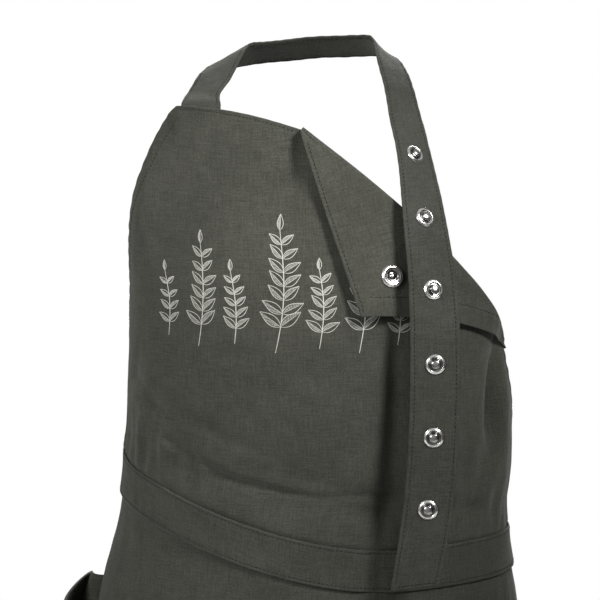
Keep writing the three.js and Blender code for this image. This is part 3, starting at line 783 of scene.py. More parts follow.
def ink_material(name, base, worn):
    """Screen print: matt ink, thin where it has worn, broken by the weave."""
    material, g = new_material(name)
    place = g.add("TexCoord").outputs["Object"]
    wear = g.noise(place, 420.0, 3.0, 0.7)
    grain = g.noise(place, 1400.0, 2.0)
    share = g.times(g.ramp(wear, 0.5, 0.78), g.ramp(grain, 0.3, 0.7, 0.5, 1.0))
    g.surface({
        "Base Color": g.mix(share, base, worn),
        "Roughness": 0.8,
        "Normal": g.bump({"Height": grain, "Strength": 0.4, "Distance": 0.0001}),
        "Specular IOR Level": 0.2,
    })
    return material


bib_cloth = cloth_material(
    "bib cotton", rgb(0.023, 0.0235, 0.0185), rgb(0.043, 0.0435, 0.0355), 0.07)
# The strap cotton is the bib's cotton painted darker: painted shade that tones down the light on the
# strap, which faces up towards the lamps.
strap_cloth = cloth_material(
    "strap cotton", rgb(0.0195, 0.02, 0.016), rgb(0.0365, 0.037, 0.0308), 0.05)
skirt_cloth = cloth_material(
    "skirt cotton", rgb(0.022, 0.0225, 0.018), rgb(0.041, 0.0415, 0.034), 0.06)
# The thread is dark, and is painted darker still: painted shade for the shadows in and between the
# stitch holes.
dark_thread_with_painted_shade = thread_material("dark thread with painted shade", rgb(0.007, 0.007, 0.006), rgb(0.014, 0.014, 0.011))
nickel = metal_material("nickel plate", rgb(0.83, 0.82, 0.79), 0.16)
white_ink = ink_material("white ink", rgb(0.33, 0.33, 0.30), rgb(0.08, 0.08, 0.07))


# Bib, its turned corner and their sewn edges

shares = np.linspace(0, 1, 90)
LEFT_EDGE = flat_path(*bib_side(shares, False))
TOP_EDGE = flat_path(*bowed(TOP_CORNER, FOLD_START, TOP_EDGE_BOW, shares))
RIGHT_EDGE = flat_path(*bib_side(shares, True))
FLAP_SIDE = flat_path(*bowed(FOLD_START, FLAP_CORNER, 0, shares))
FLAP_FOOT = flat_path(*bowed(FLAP_CORNER, FOLD_END, FLAP_HEM_BOW, shares))
SIDE_HEM = 12.5
NARROW_HEM = 4.6
FOOT_HEM = 16.5
BIB_EDGES = ((LEFT_EDGE, SIDE_HEM, 0.3), (TOP_EDGE, NARROW_HEM, 1.1), (RIGHT_EDGE, NARROW_HEM, 2.0))
FLAP_EDGES = ((FLAP_SIDE, NARROW_HEM, 0.9), (FLAP_FOOT, FOOT_HEM, 2.4))


def sewn(edges, s, drop):
    """Stand-off and extra thickness near several sewn edges."""
    off = np.zeros(np.shape(s))
    extra = np.zeros(np.shape(s))
    for path, width, seed in edges:
        distance, along = near(path, s, drop)
        o, e = hem(distance, along, width, seed=seed)
        off = off + o
        extra = np.maximum(extra, e)
    return off, extra


def bib_at(s, drop):
    return on_body(s, drop, bib_fold(s, drop) + sewn(BIB_EDGES, s, drop)[0])


def flap_fold(s, drop, w):
    """Soft shape of the turned corner: a roll near the fold and slack ripples."""
    slack = smooth((w - 0.05) / 0.3)
    off = 0.9 * ridge(s, drop, 60, 150, 40, 60, 14) - 0.8 * ridge(s, drop, 110, 190, 30, 60, 10)
    off = off + 0.8 * ridge(s, drop, 150, 230, 70, 26, 8) - 0.6 * ridge(s, drop, 128, 236, 84, 20, 6)
    off = off + 8.0 * ridge(s, drop, -21, 98, 74, 46, 13)
    off = off + 0.5 * waves(s, drop, 11, 60) + 0.14 * waves(s, drop, 12, 22)
    return off * slack


def flap_by_share(t, w):
    s, drop, off = flap_place(t, w)
    more = sewn(FLAP_EDGES, s, drop)[0] * smooth(w / 0.1)
    return on_body(s, drop, off + bib_fold(s, drop) + flap_fold(s, drop, w) + more)


def flap_shares(s, drop):
    """Shares along and away from the fold at a place on the turned corner."""
    s = np.asarray(s, float)
    drop = np.asarray(drop, float)
    t = ((s - FOLD_START[0]) * SLOPE[0] + (drop - FOLD_START[1]) * SLOPE[1]) / FOLD_LENGTH ** 2
    w = np.full(s.shape, 0.5)
    e = 1e-4
    for turn in range(12):
        p = flap_place(t, w)
        pt = flap_place(t + e, w)
        pw = flap_place(t, w + e)
        a = (pt[0] - p[0]) / e
        b = (pw[0] - p[0]) / e
        c = (pt[1] - p[1]) / e
        d = (pw[1] - p[1]) / e
        det = a * d - b * c
        det = np.where(np.abs(det) < 1e-6, 1e-6, det)
        rs = s - p[0]
        rd = drop - p[1]
        t = np.clip(t + np.clip((rs * d - rd * b) / det, -0.1, 0.1), 0.001, 0.999)
        w = np.clip(w + np.clip((rd * a - rs * c) / det, -0.3, 0.3), 0, 1.05)
    return t, w


def flap_at(s, drop):
    return flap_by_share(*flap_shares(s, drop))


BIB_COLUMNS = 224
BIB_ROWS = 150
ROLL_ROWS = 12
FLAP_ROWS = 72


def make_bib():
    """The bib with its turned corner as one sheet, and its stitches."""
    sheet = Sheet()
    kink = int(round(BIB_COLUMNS * KINK))
    before = KINK * np.linspace(0, 1, kink + 1) ** 1.35
    after = 1 - np.linspace(1, 0, BIB_COLUMNS - kink + 1) ** 1.25
    u = np.concatenate([before, KINK + (1 - KINK) * after[1:]])[None, :]
    v = np.linspace(0, 1, BIB_ROWS + 1)[:, None] ** 1.2
    s, drop = bib_place(u, v)
    off, extra = sewn(BIB_EDGES, s, drop)
    main = on_body(s, drop, bib_fold(s, drop) + off)
    sheet.grid(main, (s, drop), extra)

    t = after[None, :]
    fold = fold_line(t)
    square = (SLOPE[1] / FOLD_LENGTH, -SLOPE[0] / FOLD_LENGTH)
    turn = np.linspace(0, 1, ROLL_ROWS + 1)[:, None] * math.pi
    out = roll_radius(t) * np.sin(turn)
    rs = fold[0] + out * square[0]
    rd = fold[1] + out * square[1]
    rolled = on_body(rs, rd, roll_radius(t) * (1 - np.cos(turn)) + bib_fold(rs, rd))
    rolled[0] = main[0, kink:]
    w = np.linspace(0, 1, FLAP_ROWS + 1)[1:, None]
    fs, fd = flap_place(t, w)[:2]
    laid_extra = sewn(FLAP_EDGES, fs, fd)[1] * smooth(w / 0.1)
    flats = []
    for k, place in enumerate((fs, fd)):
        roll_flat = fold[k] + turn * FOLD_RADIUS * square[k]
        laid_flat = 2 * fold[k] - place + math.pi * FOLD_RADIUS * square[k]
        flats.append(np.concatenate([roll_flat, laid_flat])[::-1])
    points = np.concatenate([rolled, flap_by_share(t, w)])[::-1]
    extras = np.concatenate([np.zeros(rolled.shape[:2]), laid_extra])[::-1]
    sheet.grid(points, flats, extras)
    bib = sheet.wall("bib_cloth", CLOTH, bib_cloth)

    lift = CLOTH / 2 + 0.4
    runs = []
    for point_at, edge, inset, part in (
        (bib_at, LEFT_EDGE, SIDE_HEM - STITCH_INSET, slice(2, -4)),
        (bib_at, TOP_EDGE, STITCH_INSET - NARROW_HEM, slice(2, -2)),
        (bib_at, RIGHT_EDGE, STITCH_INSET - NARROW_HEM, slice(4, -4)),
        (flap_at, FLAP_SIDE, NARROW_HEM - STITCH_INSET, slice(6, -1)),
        (flap_at, FLAP_FOOT, FOOT_HEM - STITCH_INSET, slice(4, -12)),
    ):
        path = inside(edge, inset)[part]
        runs.append(run_on(point_at, path[:, 0], path[:, 1], lift))
    return bib, stitches("bib_stitches", runs)


# Strap

STRAP_SEAM = 3.4
END_SEAM = 3.5
EDGE_BLUNT = 0.55
STRAP_ROWS = 460
STRAP_COLUMNS = 27
STITCH_STEP = 2.0
STRAP_RIGHT = (0, -0.5)
STRAP_DOWN = (0.5, 0)


def strap_route():
    """Lengths and rows of the strap's route: point, then direction over its width."""
    rows = [
        (x * BIB_TOP_HALF, y * BODY_REACH, -drop * BELT_DROP, a, b, c)
        for x, y, drop, a, b, c in STRAP
    ]
    tuck_s = -BIB_TOP_HALF + STRAP_TUCK_PLACE * STRAP_WIDTH
    ahead_s = -BIB_TOP_HALF + STRAP_TUCK_AHEAD * STRAP_WIDTH
    tuck_drop = BIB_TOP_DROP + STRAP_TUCK
    lying = unit(on_body(ahead_s, tuck_drop, 0) - on_body(tuck_s, tuck_drop, 0))
    inward = np.array([-lying[1], lying[0], 0]) * STRAP_INSET
    for drop in (BIB_TOP_DROP, tuck_drop):
        p = on_body(tuck_s, drop, 0) + inward
        rows.insert(0, (*p, lying[0], lying[1], 0))
    rows = np.array(rows)
    lengths = np.linalg.norm(np.diff(rows[:, :3], axis=0), axis=1)
    return np.concatenate([[0], np.cumsum(lengths)]), rows


ROUTE_ALONG, ROUTE = strap_route()
STRAP_LENGTH = ROUTE_ALONG[-1]


def strap_plain(along, over):
    """Point on the strap's middle surface by length and place over its width."""
    along, over = np.broadcast_arrays(np.asarray(along, float), over)
    at = [table_curve(ROUTE_ALONG, ROUTE[:, k], along) for k in range(6)]
    width = unit(np.stack(at[3:], axis=-1))
    return np.stack(at[:3], axis=-1) + width * over[..., None]


def strap_wrinkle(along, over):
    edge = smooth((np.abs(over) - 0.28 * STRAP_WIDTH) / (0.2 * STRAP_WIDTH))
    side = np.where(over > 0, 1.3, 0)
    pucker = 0.12 * uneven(along, 11.0, 2.4, 23, side)
    line = np.abs(np.abs(over) - (STRAP_WIDTH / 2 - STRAP_SEAM))
    groove = -0.4 * bell(line)
    return pucker * edge + groove + 0.22 * waves(along, over, 21, 46) + 0.1 * waves(along, over, 22, 17)


def strap_at(along, over):
    """Wrinkled strap; over falls from left to right as seen from outside."""
    normal = facing(strap_plain, along, over, STRAP_RIGHT, STRAP_DOWN)
    return strap_plain(along, over) + normal * strap_wrinkle(along, over)[..., None]


def strap_frame(along):
    centre = strap_plain(along, 0.0)
    width = strap_plain(along, 1.0) - centre
    travel = unit(strap_plain(along + 1, 0.0) - strap_plain(along - 1, 0.0))
    return centre, unit(np.cross(width, travel))


def rounded(over, width):
    """Share of full thickness near the two long edges of a strip."""
    x = np.clip(np.abs(over) / (width / 2), 0, 1)
    return EDGE_BLUNT + (1 - EDGE_BLUNT) * np.sqrt(np.maximum(1 - x ** 14, 0))


def edge_columns(count, width):
    """Places over a strip's width, closer together at its edges."""
    x = np.linspace(-1, 1, count)
    return 0.5 * width * np.sin(0.5 * math.pi * x) * 0.55 + 0.5 * width * x * 0.45


def make_strap():
    along = np.linspace(0, STRAP_LENGTH, STRAP_ROWS)[:, None]
    over = edge_columns(STRAP_COLUMNS, STRAP_WIDTH)[::-1][None, :]
    extra = STRAP_THICKNESS * rounded(over, STRAP_WIDTH) - STRAP_THICKNESS
    laid = strap_at(along, over)
    strap = lone_sheet("strap_cloth", laid, (over, along), extra, strap_cloth, STRAP_THICKNESS)
    runs = []
    places = np.arange(STRAP_TUCK + 6, STRAP_LENGTH - 3, STITCH_STEP)
    seam = STRAP_WIDTH / 2 - STRAP_SEAM
    lift = STRAP_THICKNESS / 2 + 0.05
    for side in (-1, 1):
        over = np.full(len(places), side * seam)
        runs.append(lifted(strap_at, places, over, lift, STRAP_RIGHT, STRAP_DOWN))
        back, normals = lifted(strap_at, places, over, -lift, STRAP_RIGHT, STRAP_DOWN)
        runs.append((back, -normals))
    end = np.full(18, STRAP_LENGTH - END_SEAM)
    runs.append(lifted(strap_at, end, np.linspace(-seam, seam, 18), lift, STRAP_RIGHT, STRAP_DOWN))
    return strap, stitches("strap_stitches", runs)


# Waistband, skirt, pockets and ties

BAND_TOP_SEAM = 2.4
BAND_FOOT_SEAM = BAND_HEIGHT - 3.0
BAND_EDGE = 1.7
BAND_LIFT = 0.9
BAND_COLUMNS = 300
BAND_ROWS = 21


def band_at(s, down):
    """Place on the waistband: s round the body, down from its upper seam."""
    s, down = np.broadcast_arrays(np.asarray(s, float), down)
    left = smooth((-s - 60) / 120)
    pucker = (0.12 + 0.3 * left) * uneven(s, 13, 2.8, 21)
    pucker = pucker * (0.35 + 0.65 * np.cos(math.pi * down / BAND_HEIGHT) ** 2)
    groove = -0.3 * bell(down - BAND_FOOT_SEAM) - 0.3 * bell(down - BAND_TOP_SEAM)
    off = CLOTH + 0.6 + 0.5 * (pucker + 1) + groove + 0.25 * waves(s, down, 31, 50)
    under_strap = 1.8 * bell(s - 52, 11)
    return on_body(s, belt_drop(s) + down, off - under_strap)


def make_band():
    s = np.linspace(-BIB_BELT_HALF, BIB_BELT_HALF, BAND_COLUMNS)[None, :]
    down = (edge_columns(BAND_ROWS, BAND_HEIGHT) + BAND_HEIGHT / 2)[:, None]
    extra = BAND_EDGE * rounded(down - BAND_HEIGHT / 2, BAND_HEIGHT) - CLOTH
    band = lone_sheet("band_cloth", band_at(s, down), (s, down), extra, skirt_cloth)
    places = np.arange(-BIB_BELT_HALF + 3, BIB_BELT_HALF - 2, STITCH_STEP)
    ends = np.linspace(4, BAND_HEIGHT - 4, 16)
    runs = [run_on(band_at, places, down, BAND_LIFT) for down in (BAND_TOP_SEAM, BAND_FOOT_SEAM)]
    runs += [run_on(band_at, side * (BIB_BELT_HALF - END_SEAM), ends, BAND_LIFT) for side in (-1, 1)]
    return band, stitches("band_stitches", runs)


def skirt_fold(k, v):
    off = 0
    for at, wide, rise, starts in SKIRT_FOLDS:
        off = off + rise * BODY_HALF * smooth((v - starts) / (1 - starts)) * bell(k - at, wide)
    return off


def skirt_place(k, v):
    """Flat place on the skirt by shares of its half width and its height."""
    belt = belt_drop(k * BIB_BELT_HALF)
    foot = BELT_DROP + SKIRT_DROP - HEM_FOLLOWS_BELT * (BELT_DROP - belt)
    top = belt + BAND_OVERLAP + SKIRT_TOP_GAP
    return k * lerp(BIB_BELT_HALF, SKIRT_HEM_HALF, v), lerp(top, foot, v)


def skirt_shares(s, drop):
    """Shares of the skirt at a flat place."""
    k = s / SKIRT_HEM_HALF
    for turn in range(6):
        top = skirt_place(k, 0.0)[1]
        foot = skirt_place(k, 1.0)[1]
        v = np.clip((drop - top) / (foot - top), 0, 1)
        k = s / lerp(BIB_BELT_HALF, SKIRT_HEM_HALF, v)
    return k, v


def skirt_fold_at(s, drop):
    return skirt_fold(*skirt_shares(s, drop))


SKIRT_HEM = 24.0
SKIRT_SIDE_HEM = 12.5
SKIRT_COLUMNS = 241
SKIRT_ROWS = 171
FACE_LIFT = CLOTH / 2 + 0.35


def skirt_detail(k, v):
    """Gathers under the band, ripples and sewn edges: stand-off and thickness."""
    s, drop = skirt_place(k, v)
    below = drop - (belt_drop(s) + BAND_HEIGHT)
    gather = smooth((below + 2) / 26) * (1 - smooth(below / 120))
    strength = 0.15 + 0.5 * smooth((-s - 90) / 90) + 0.35 * smooth((s - 120) / 80)
    strength = strength * (0.3 + 0.7 * np.sin(s / 27 + 1.3) ** 2)
    off = strength * gather * uneven(s, 23, 3.1, 37)
    off = off + (0.7 * waves(s, drop, 41, 90) + 0.25 * waves(s, drop, 42, 30)) * smooth(below / 60)
    foot = skirt_place(k, 1.0)[1] - drop
    side = (1 - np.abs(k)) * lerp(BIB_BELT_HALF, SKIRT_HEM_HALF, v)
    o1, e1 = hem(foot, s, SKIRT_HEM, pucker=0.5, seed=0.4)
    o2, e2 = hem(side, drop, SKIRT_SIDE_HEM, pucker=0.35, seed=1.4)
    under = smooth(below / 12)
    return off + (o1 + o2) * under, np.maximum(e1, e2) * under


def skirt_at(k, v):
    s, drop = skirt_place(k, v)
    return on_body(s, drop, skirt_fold(k, v) + skirt_detail(k, v)[0])


def skirt_on(s, drop):
    return skirt_at(*skirt_shares(s, drop))


def make_skirt():
    k = np.linspace(-1, 1, SKIRT_COLUMNS)[None, :]
    v = np.linspace(0, 1, SKIRT_ROWS)[:, None]
    extra = skirt_detail(k, v)[1]
    skirt = lone_sheet("skirt_cloth", skirt_at(k, v), skirt_place(k, v), extra, skirt_cloth)
    s, foot = skirt_place(np.linspace(-0.985, 0.985, 320), 1.0)
    runs = [run_on(skirt_on, s, foot - (SKIRT_HEM - STITCH_INSET), FACE_LIFT)]
    for side in (-1, 1):
        vs = np.linspace(0.09, 0.985, 220)
        half = lerp(BIB_BELT_HALF, SKIRT_HEM_HALF, vs)
        s, drop = skirt_place(side * (1 - (SKIRT_SIDE_HEM - STITCH_INSET) / half), vs)
        runs.append(run_on(skirt_on, s, drop, FACE_LIFT))
    return skirt, stitches("skirt_stitches", runs)


POCKET_WALL_STEPS = 10
POCKET_COLUMNS = 71
POCKET_ROWS = 81
MOUTH_HEM = 22
MOUTH_SEAM = 20.4
POCKET_EDGE_SEAM = 3.0


def pocket_place(side, across, down, q):
    """Flat place and stand-off of a pocket. across and down are shares of its
    face, and q goes from the seam on the skirt to the face."""
    pleat = POCKET_PLEAT * np.sin(math.pi * q) ** 0.8
    inward = np.where(across < 0.5, 1, -1) * (np.abs(across - 0.5) > 0.4999)
    u = across + pleat / POCKET_WIDTH * inward
    v = down - pleat / POCKET_HEIGHT * (down > 0.9999)
    s = side * (POCKET_START + (u if side > 0 else 1 - u) * POCKET_WIDTH)
    sag = POCKET_SAG * (1 - down) * np.sin(math.pi * np.clip(across, 0, 1)) * q
    drop = belt_drop(s) + POCKET_BELOW_BELT + v * POCKET_HEIGHT + sag
    belly = 1 - POCKET_TAPER * down * down
    off = SOLID_CLOTH + GAP + POCKET_SEAM + skirt_fold_at(s, drop) + POCKET_DEPTH * belly * q
    return s, drop, off + q * (0.5 * waves(s, drop, 51, 60) + 0.15 * waves(s, drop, 52, 22))


def make_pocket(side, name):
    """Bellows pocket: pleated side and foot walls, and a face with a hemmed mouth."""
    walls = np.linspace(0, 1, POCKET_WALL_STEPS + 1)
    sides = (np.zeros(POCKET_WALL_STEPS), np.ones(POCKET_WALL_STEPS))
    across = np.concatenate([sides[0], np.linspace(0, 1, POCKET_COLUMNS), sides[1]])
    q_across = np.concatenate([walls[:-1], np.ones(POCKET_COLUMNS), walls[::-1][1:]])
    down = np.concatenate([np.linspace(0, 1, POCKET_ROWS), sides[1]])
    q_down = np.concatenate([np.ones(POCKET_ROWS), walls[::-1][1:]])
    q = np.minimum(q_across[None, :], q_down[:, None])
    a, d = np.broadcast_arrays(across[None, :], down[:, None])
    s, drop, off = pocket_place(side, a, d, q)
    from_mouth = d * POCKET_HEIGHT
    mouth = smooth((MOUTH_HEM - from_mouth) / 1.5 + 0.5) * smooth((q - 0.5) / 0.5)
    mouth_groove = -0.3 * bell(from_mouth - MOUTH_SEAM, 1.1)
    edge = np.minimum(np.minimum(a, 1 - a) * POCKET_WIDTH, (1 - d) * POCKET_HEIGHT)
    rim = smooth((4.5 - edge) / 1.2 + 0.5) * (q > 0.99)
    rim_groove = -0.3 * bell(edge - POCKET_EDGE_SEAM, 0.9) * (q > 0.99)
    laid = on_body(s, drop, off + mouth_groove * (q > 0.99) + rim_groove)
    extra = HEM_RISE * np.maximum(mouth, rim)
    pocket = lone_sheet(name + "_cloth", laid, (s, drop), extra, skirt_cloth)

    def face_at(a, d):
        return on_body(*pocket_place(side, a / POCKET_WIDTH, d / POCKET_HEIGHT, np.ones(np.shape(a))))

    x = np.linspace(4, POCKET_WIDTH - 4, 60)
    y = np.linspace(3, POCKET_HEIGHT - 3, 70)
    seam_levels = (MOUTH_SEAM, POCKET_HEIGHT - POCKET_EDGE_SEAM)
    seam_sides = (POCKET_EDGE_SEAM, POCKET_WIDTH - POCKET_EDGE_SEAM)
    runs = [run_on(face_at, x, level, FACE_LIFT) for level in seam_levels]
    runs += [run_on(face_at, at, y, FACE_LIFT) for at in seam_sides]
    return pocket, stitches(name + "_stitches", runs)


KNOT_REACH = 0.5 * KNOT_WIDTH * math.sqrt(1 - ((2 * KNOT_PROUD) / KNOT_DEPTH) ** 2)
KNOT_DROP = float(belt_drop(-BIB_BELT_HALF) + belt_drop(BIB_BELT_HALF) + BAND_HEIGHT) / 2
TIE_START = BIB_BELT_HALF + 2 * GAP
TIE_LENGTH = half_girth(KNOT_DROP) - KNOT_REACH - GAP - TIE_START


def tie_line(side, share, over):
    start_drop = float(belt_drop(side * BIB_BELT_HALF)) + BAND_HEIGHT / 2
    middle = lerp(start_drop, KNOT_DROP, smooth(share))
    width = lerp(TIE_WIDTH, TIE_TAPER * TIE_WIDTH, smooth(2 * share - 1))
    crease = 1.1 * smooth(3 * share - 1.6) * np.cos(3 * math.pi * over)
    ripple = 0.35 * waves(TIE_LENGTH * share, over * width, 61 + side, 40)
    off = SOLID_CLOTH + GAP + 0.4 + crease + ripple + 0.4 * smooth(share * 6)
    return on_body(side * (TIE_START + TIE_LENGTH * share), middle + over * width, off)


RIBBON_SEAM = 0.41
RIBBON_LIFT = 0.78


def ribbon(name, cloth_name, point_at, share, over, flats, stitched, right, down):
    """Narrow strip of cloth, and the stitches near its two long edges."""
    extra = TIE_EDGE * rounded(over * 2, 2.0) - CLOTH
    strip = lone_sheet(cloth_name, point_at(share, over), flats, extra, skirt_cloth)
    runs = []
    for place in (-RIBBON_SEAM, RIBBON_SEAM):
        overs = np.full(len(stitched), place)
        runs.append(lifted(point_at, stitched, overs, RIBBON_LIFT, right, down))
    return strip, stitches(name + "_stitches", runs)


def make_tie(side, name):
    share = np.linspace(0, 1, 200)[::side][None, :]
    over = np.linspace(-0.5, 0.5, 19)[:, None]
    stitched = np.linspace(0.01, 0.97, 240)[::side]

    def tie_at(share, over):
        return tie_line(side, share, over)

    return ribbon(
        name, name + "_cloth", tie_at, share, over, (TIE_LENGTH * share, TIE_WIDTH * over),
        stitched, (side * 0.002, 0), (0, 0.02))


def spline(keys, count):
    """Smooth path through a few points."""
    keys = np.asarray(keys, float)
    at = np.linspace(0, len(keys) - 1, count)
    rows = np.arange(len(keys))
    return np.stack([table_curve(rows, keys[:, k], at) for k in range(keys.shape[1])], axis=-1)


# Strands of the knot as shares of its width, depth and height: x to the right,
# y away from the body, z up, then half width and half thickness of the strand.
KNOT_STRANDS = [
    [
        (-0.5, -0.1, 0.0, 7.5, 1.2), (-0.3, 0.05, 0.1, 6, 1.8), (-0.05, 0.36, 0.2, 5.5, 2.2),
        (0.2, 0.3, 0.05, 5.5, 2.2), (0.3, 0.0, -0.12, 5.5, 2.0), (0.12, -0.25, -0.25, 5.5, 2.0),
        (-0.08, -0.1, -0.42, 6, 1.6),
    ],
    [
        (0.5, -0.1, 0.0, 7.5, 1.2), (0.32, 0.0, 0.22, 6, 1.8), (0.1, -0.12, 0.36, 5.5, 2.0),
        (-0.18, 0.1, 0.28, 5.5, 2.2), (-0.3, 0.34, 0.0, 5.5, 2.2), (-0.1, 0.38, -0.26, 5.5, 2.2),
        (0.14, 0.1, -0.42, 6, 1.6),
    ],
]


KNOT_MIDDLE = on_body(half_girth(KNOT_DROP), KNOT_DROP, SOLID_CLOTH + GAP + KNOT_PROUD)
STRAND_RINGS = 56
STRAND_SIDES = 16


def make_knot():
    """Two strands that wind round each other, as closed tubes of oval section."""
    points = []
    faces = []
    angles = 2 * math.pi * np.arange(STRAND_SIDES)[None, :, None] / STRAND_SIDES
    for strand in KNOT_STRANDS:
        path = spline(strand, STRAND_RINGS)
        line = KNOT_MIDDLE + path[:, :3] * np.array([KNOT_WIDTH, KNOT_DEPTH, KNOT_HEIGHT])
        outward = unit(line - KNOT_MIDDLE + np.array([0, 0.01, 0]))
        travel = unit(np.gradient(line, axis=0))
        over = unit(np.cross(travel, outward))
        up = np.cross(over, travel)
        wide = (over * path[:, 3, None])[:, None] * np.cos(angles)
        deep = (up * path[:, 4, None])[:, None] * np.sin(angles)
        faces += loft_faces(STRAND_RINGS, STRAND_SIDES, len(points))
        points += list((line[:, None] + wide + deep).reshape(-1, 3))
    return make_mesh("knot_cloth", points, faces, skirt_cloth, np.asarray(points)[:, [2, 0]])


def tail_line(side, share, over):
    width = TIE_WIDTH * lerp(0.5, 0.9, smooth(3 * share))
    x = side * lerp(0.12 * KNOT_WIDTH, 0.8 * KNOT_WIDTH, np.sqrt(share))
    y = side * 2.8 + 0.02 * TAIL_LENGTH * np.sin(math.pi * share)
    curl = 1.6 * np.sin(2 * math.pi * (over * 0.8 + share * 1.3 + 0.2 * side)) * smooth(share * 4)
    y = y + curl + 0.3 * waves(share * TAIL_LENGTH, over * width, 71 + side, 40)
    offset = np.stack(np.broadcast_arrays(x - over * width, y, -share * TAIL_LENGTH), axis=-1)
    return KNOT_MIDDLE + offset


def make_tail(side, name):
    share = np.linspace(0.03, 1, 110)[:, None]
    over = np.linspace(-0.5, 0.5, 15)[None, :]

    def tail_at(share, over):
        return tail_line(side, share, over)

    return ribbon(
        name, name, tail_at, share, over, (TIE_WIDTH * over, TAIL_LENGTH * share),
        np.linspace(0.06, 0.97, 120), (0, 0.02), (0.004, 0))


# Snaps

ROUND = 48
ARC_STEPS = 5


def turned(name, profile, centre, normal, shades):
    """Turned piece from radius and height pairs; shades pairs a radius with a share of painted shade,
    dark colour standing in for shade and dark reflections.
    """
    up = np.array([0.0, 0.0, 1.0])
    side = unit(np.cross(up, normal)) if abs(normal[2]) < 0.9 else np.array([1.0, 0.0, 0.0])
    other = np.cross(normal, side)
    points = []
    for r, h in profile:
        for k in range(ROUND):
            a = 2 * math.pi * k / ROUND
            points.append(centre + normal * h + (side * math.cos(a) + other * math.sin(a)) * r)
    piece = make_mesh(name, points, loft_faces(len(profile), ROUND), nickel)
    radii = [r for r, h in profile]
    painted_shade = np.interp(radii, *zip(*shades))
    layer = piece.data.attributes.new("painted_shade_share", "FLOAT", "POINT")
    layer.data.foreach_set("value", np.repeat(painted_shade, ROUND).astype(np.float32))
    return piece


def arc(r0, h0, r1, h1, bulge):
    """Rounded step between two profile places, with a bulge outwards."""
    out = []
    for k in range(ARC_STEPS + 1):
        t = k / ARC_STEPS
        rise = bulge * math.sin(math.pi * t)
        out.append((lerp(r0, r1, t) + rise * 0.6, lerp(h0, h1, t) + rise))
    return out


STUD_PROFILE = (
    [(0.01, 0.0), (7.9, 0.0)]
    + arc(8.0, 0.15, 7.7, 0.75, 0.08)
    + arc(7.3, 1.05, 6.2, 1.72, 0.12)
    + arc(6.0, 1.7, 5.3, 1.1, 0.03)
    + [(4.7, 0.98), (4.1, 1.0)]
    + [(3.75, 1.35), (3.62, 2.1), (3.7, 2.9)]
    + arc(3.72, 3.1, 2.9, 4.0, 0.16)
    + [(2.2, 4.3), (1.5, 4.44), (0.8, 4.48), (0.01, 4.48)]
)
# Shares of painted shade by radius: dark colour painted in for the shade in the grooves and the dark
# reflections on the domes.
STUD_SHADES = [
    (0, 0.4), (0.8, 0.1), (1.6, 0.25), (2.6, 0.6), (3.5, 0.7),
    (3.7, 1), (4.6, 0.9), (5.1, 0.2), (5.6, 0), (9, 0),
]
CAP_PROFILE = (
    [(0.01, 0.0), (7.9, 0.0)]
    + arc(8.0, 0.2, 7.6, 0.8, 0.08)
    + [(6.6, 1.12), (5.6, 1.24), (4.6, 1.2), (4.2, 1.02)]
    + [(3.8, 1.0), (3.3, 1.12), (1.6, 1.24), (0.01, 1.26)]
)
CAP_SHADES = [(0, 0.1), (3.2, 0.1), (3.8, 0.7), (4.3, 0.7), (4.8, 0.1), (9, 0)]
SOCKET_PROFILE = (
    [(0.01, 0.0), (9.1, 0.0)]
    + arc(9.2, 0.2, 8.9, 0.95, 0.08)
    + arc(8.7, 1.3, 7.4, 2.15, 0.12)
    + arc(7.1, 2.2, 6.0, 1.9, 0.05)
    + [(5.4, 1.75), (4.7, 1.72), (4.35, 1.5), (4.25, 0.85), (4.1, 0.72), (2.0, 0.7)]
    + [(1.8, 0.9), (1.4, 1.3), (0.8, 1.45), (0.01, 1.5)]
)
SOCKET_SHADES = [
    (0, 0), (1.3, 0.2), (1.9, 0.9), (4.2, 1), (4.5, 0.7),
    (5.2, 0.25), (5.9, 0.75), (6.6, 0.1), (7.2, 0), (10, 0),
]


def rise_under(point_at, centre, normal, radius):
    """How far a surface stands proud of a flat disc laid on it."""
    a = np.arange(9)[:, None] / 8 * 2 * math.pi
    r = np.array([0.5, 1.0])[None, :] * radius
    points = point_at(r * np.cos(a), r * np.sin(a))
    return max(0.0, float(((points - centre) @ normal).max()))


def flap_socket_frame():
    """Centre and normal of the socket on the turned corner, and the surface round it."""
    hem_line = np.subtract(FOLD_END, FLAP_CORNER)
    step = SOCKET_FROM_EDGE * hem_line / np.hypot(*hem_line)
    start = FLAP_CORNER + step - np.array([0, SOCKET_FROM_HEM]) - FOLD_START
    along = SLOPE / FOLD_LENGTH
    square = np.array([-along[1], along[0]])
    t = float(start @ along) / FOLD_LENGTH
    edge_far = float((np.array(flap_edge(np.array(t))) - FOLD_START) @ square)
    w = float(start @ square) / edge_far

    def point_at(a, b):
        s, drop, off = flap_place(t + a / FOLD_LENGTH, w + b / edge_far)
        return on_body(s, drop, off + bib_fold(s, drop))

    middle = np.array(0.0)
    centre = point_at(middle, middle)
    normal = facing(point_at, middle, middle, (0, 1), (1, 0))
    return centre, normal * (-1 if normal[1] > 0 else 1), point_at


def fix_snap(point_at, centre, normal, radius, half, parts):
    """A turned piece on each side of the cloth: name, node, profile, shades and way."""
    for name, node, profile, shades, way in parts:
        outward = normal * way
        high = rise_under(point_at, centre, outward, radius)
        piece = turned(name, profile, centre + outward * (high + half + METAL_LIFT), outward, shades)
        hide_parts(node)


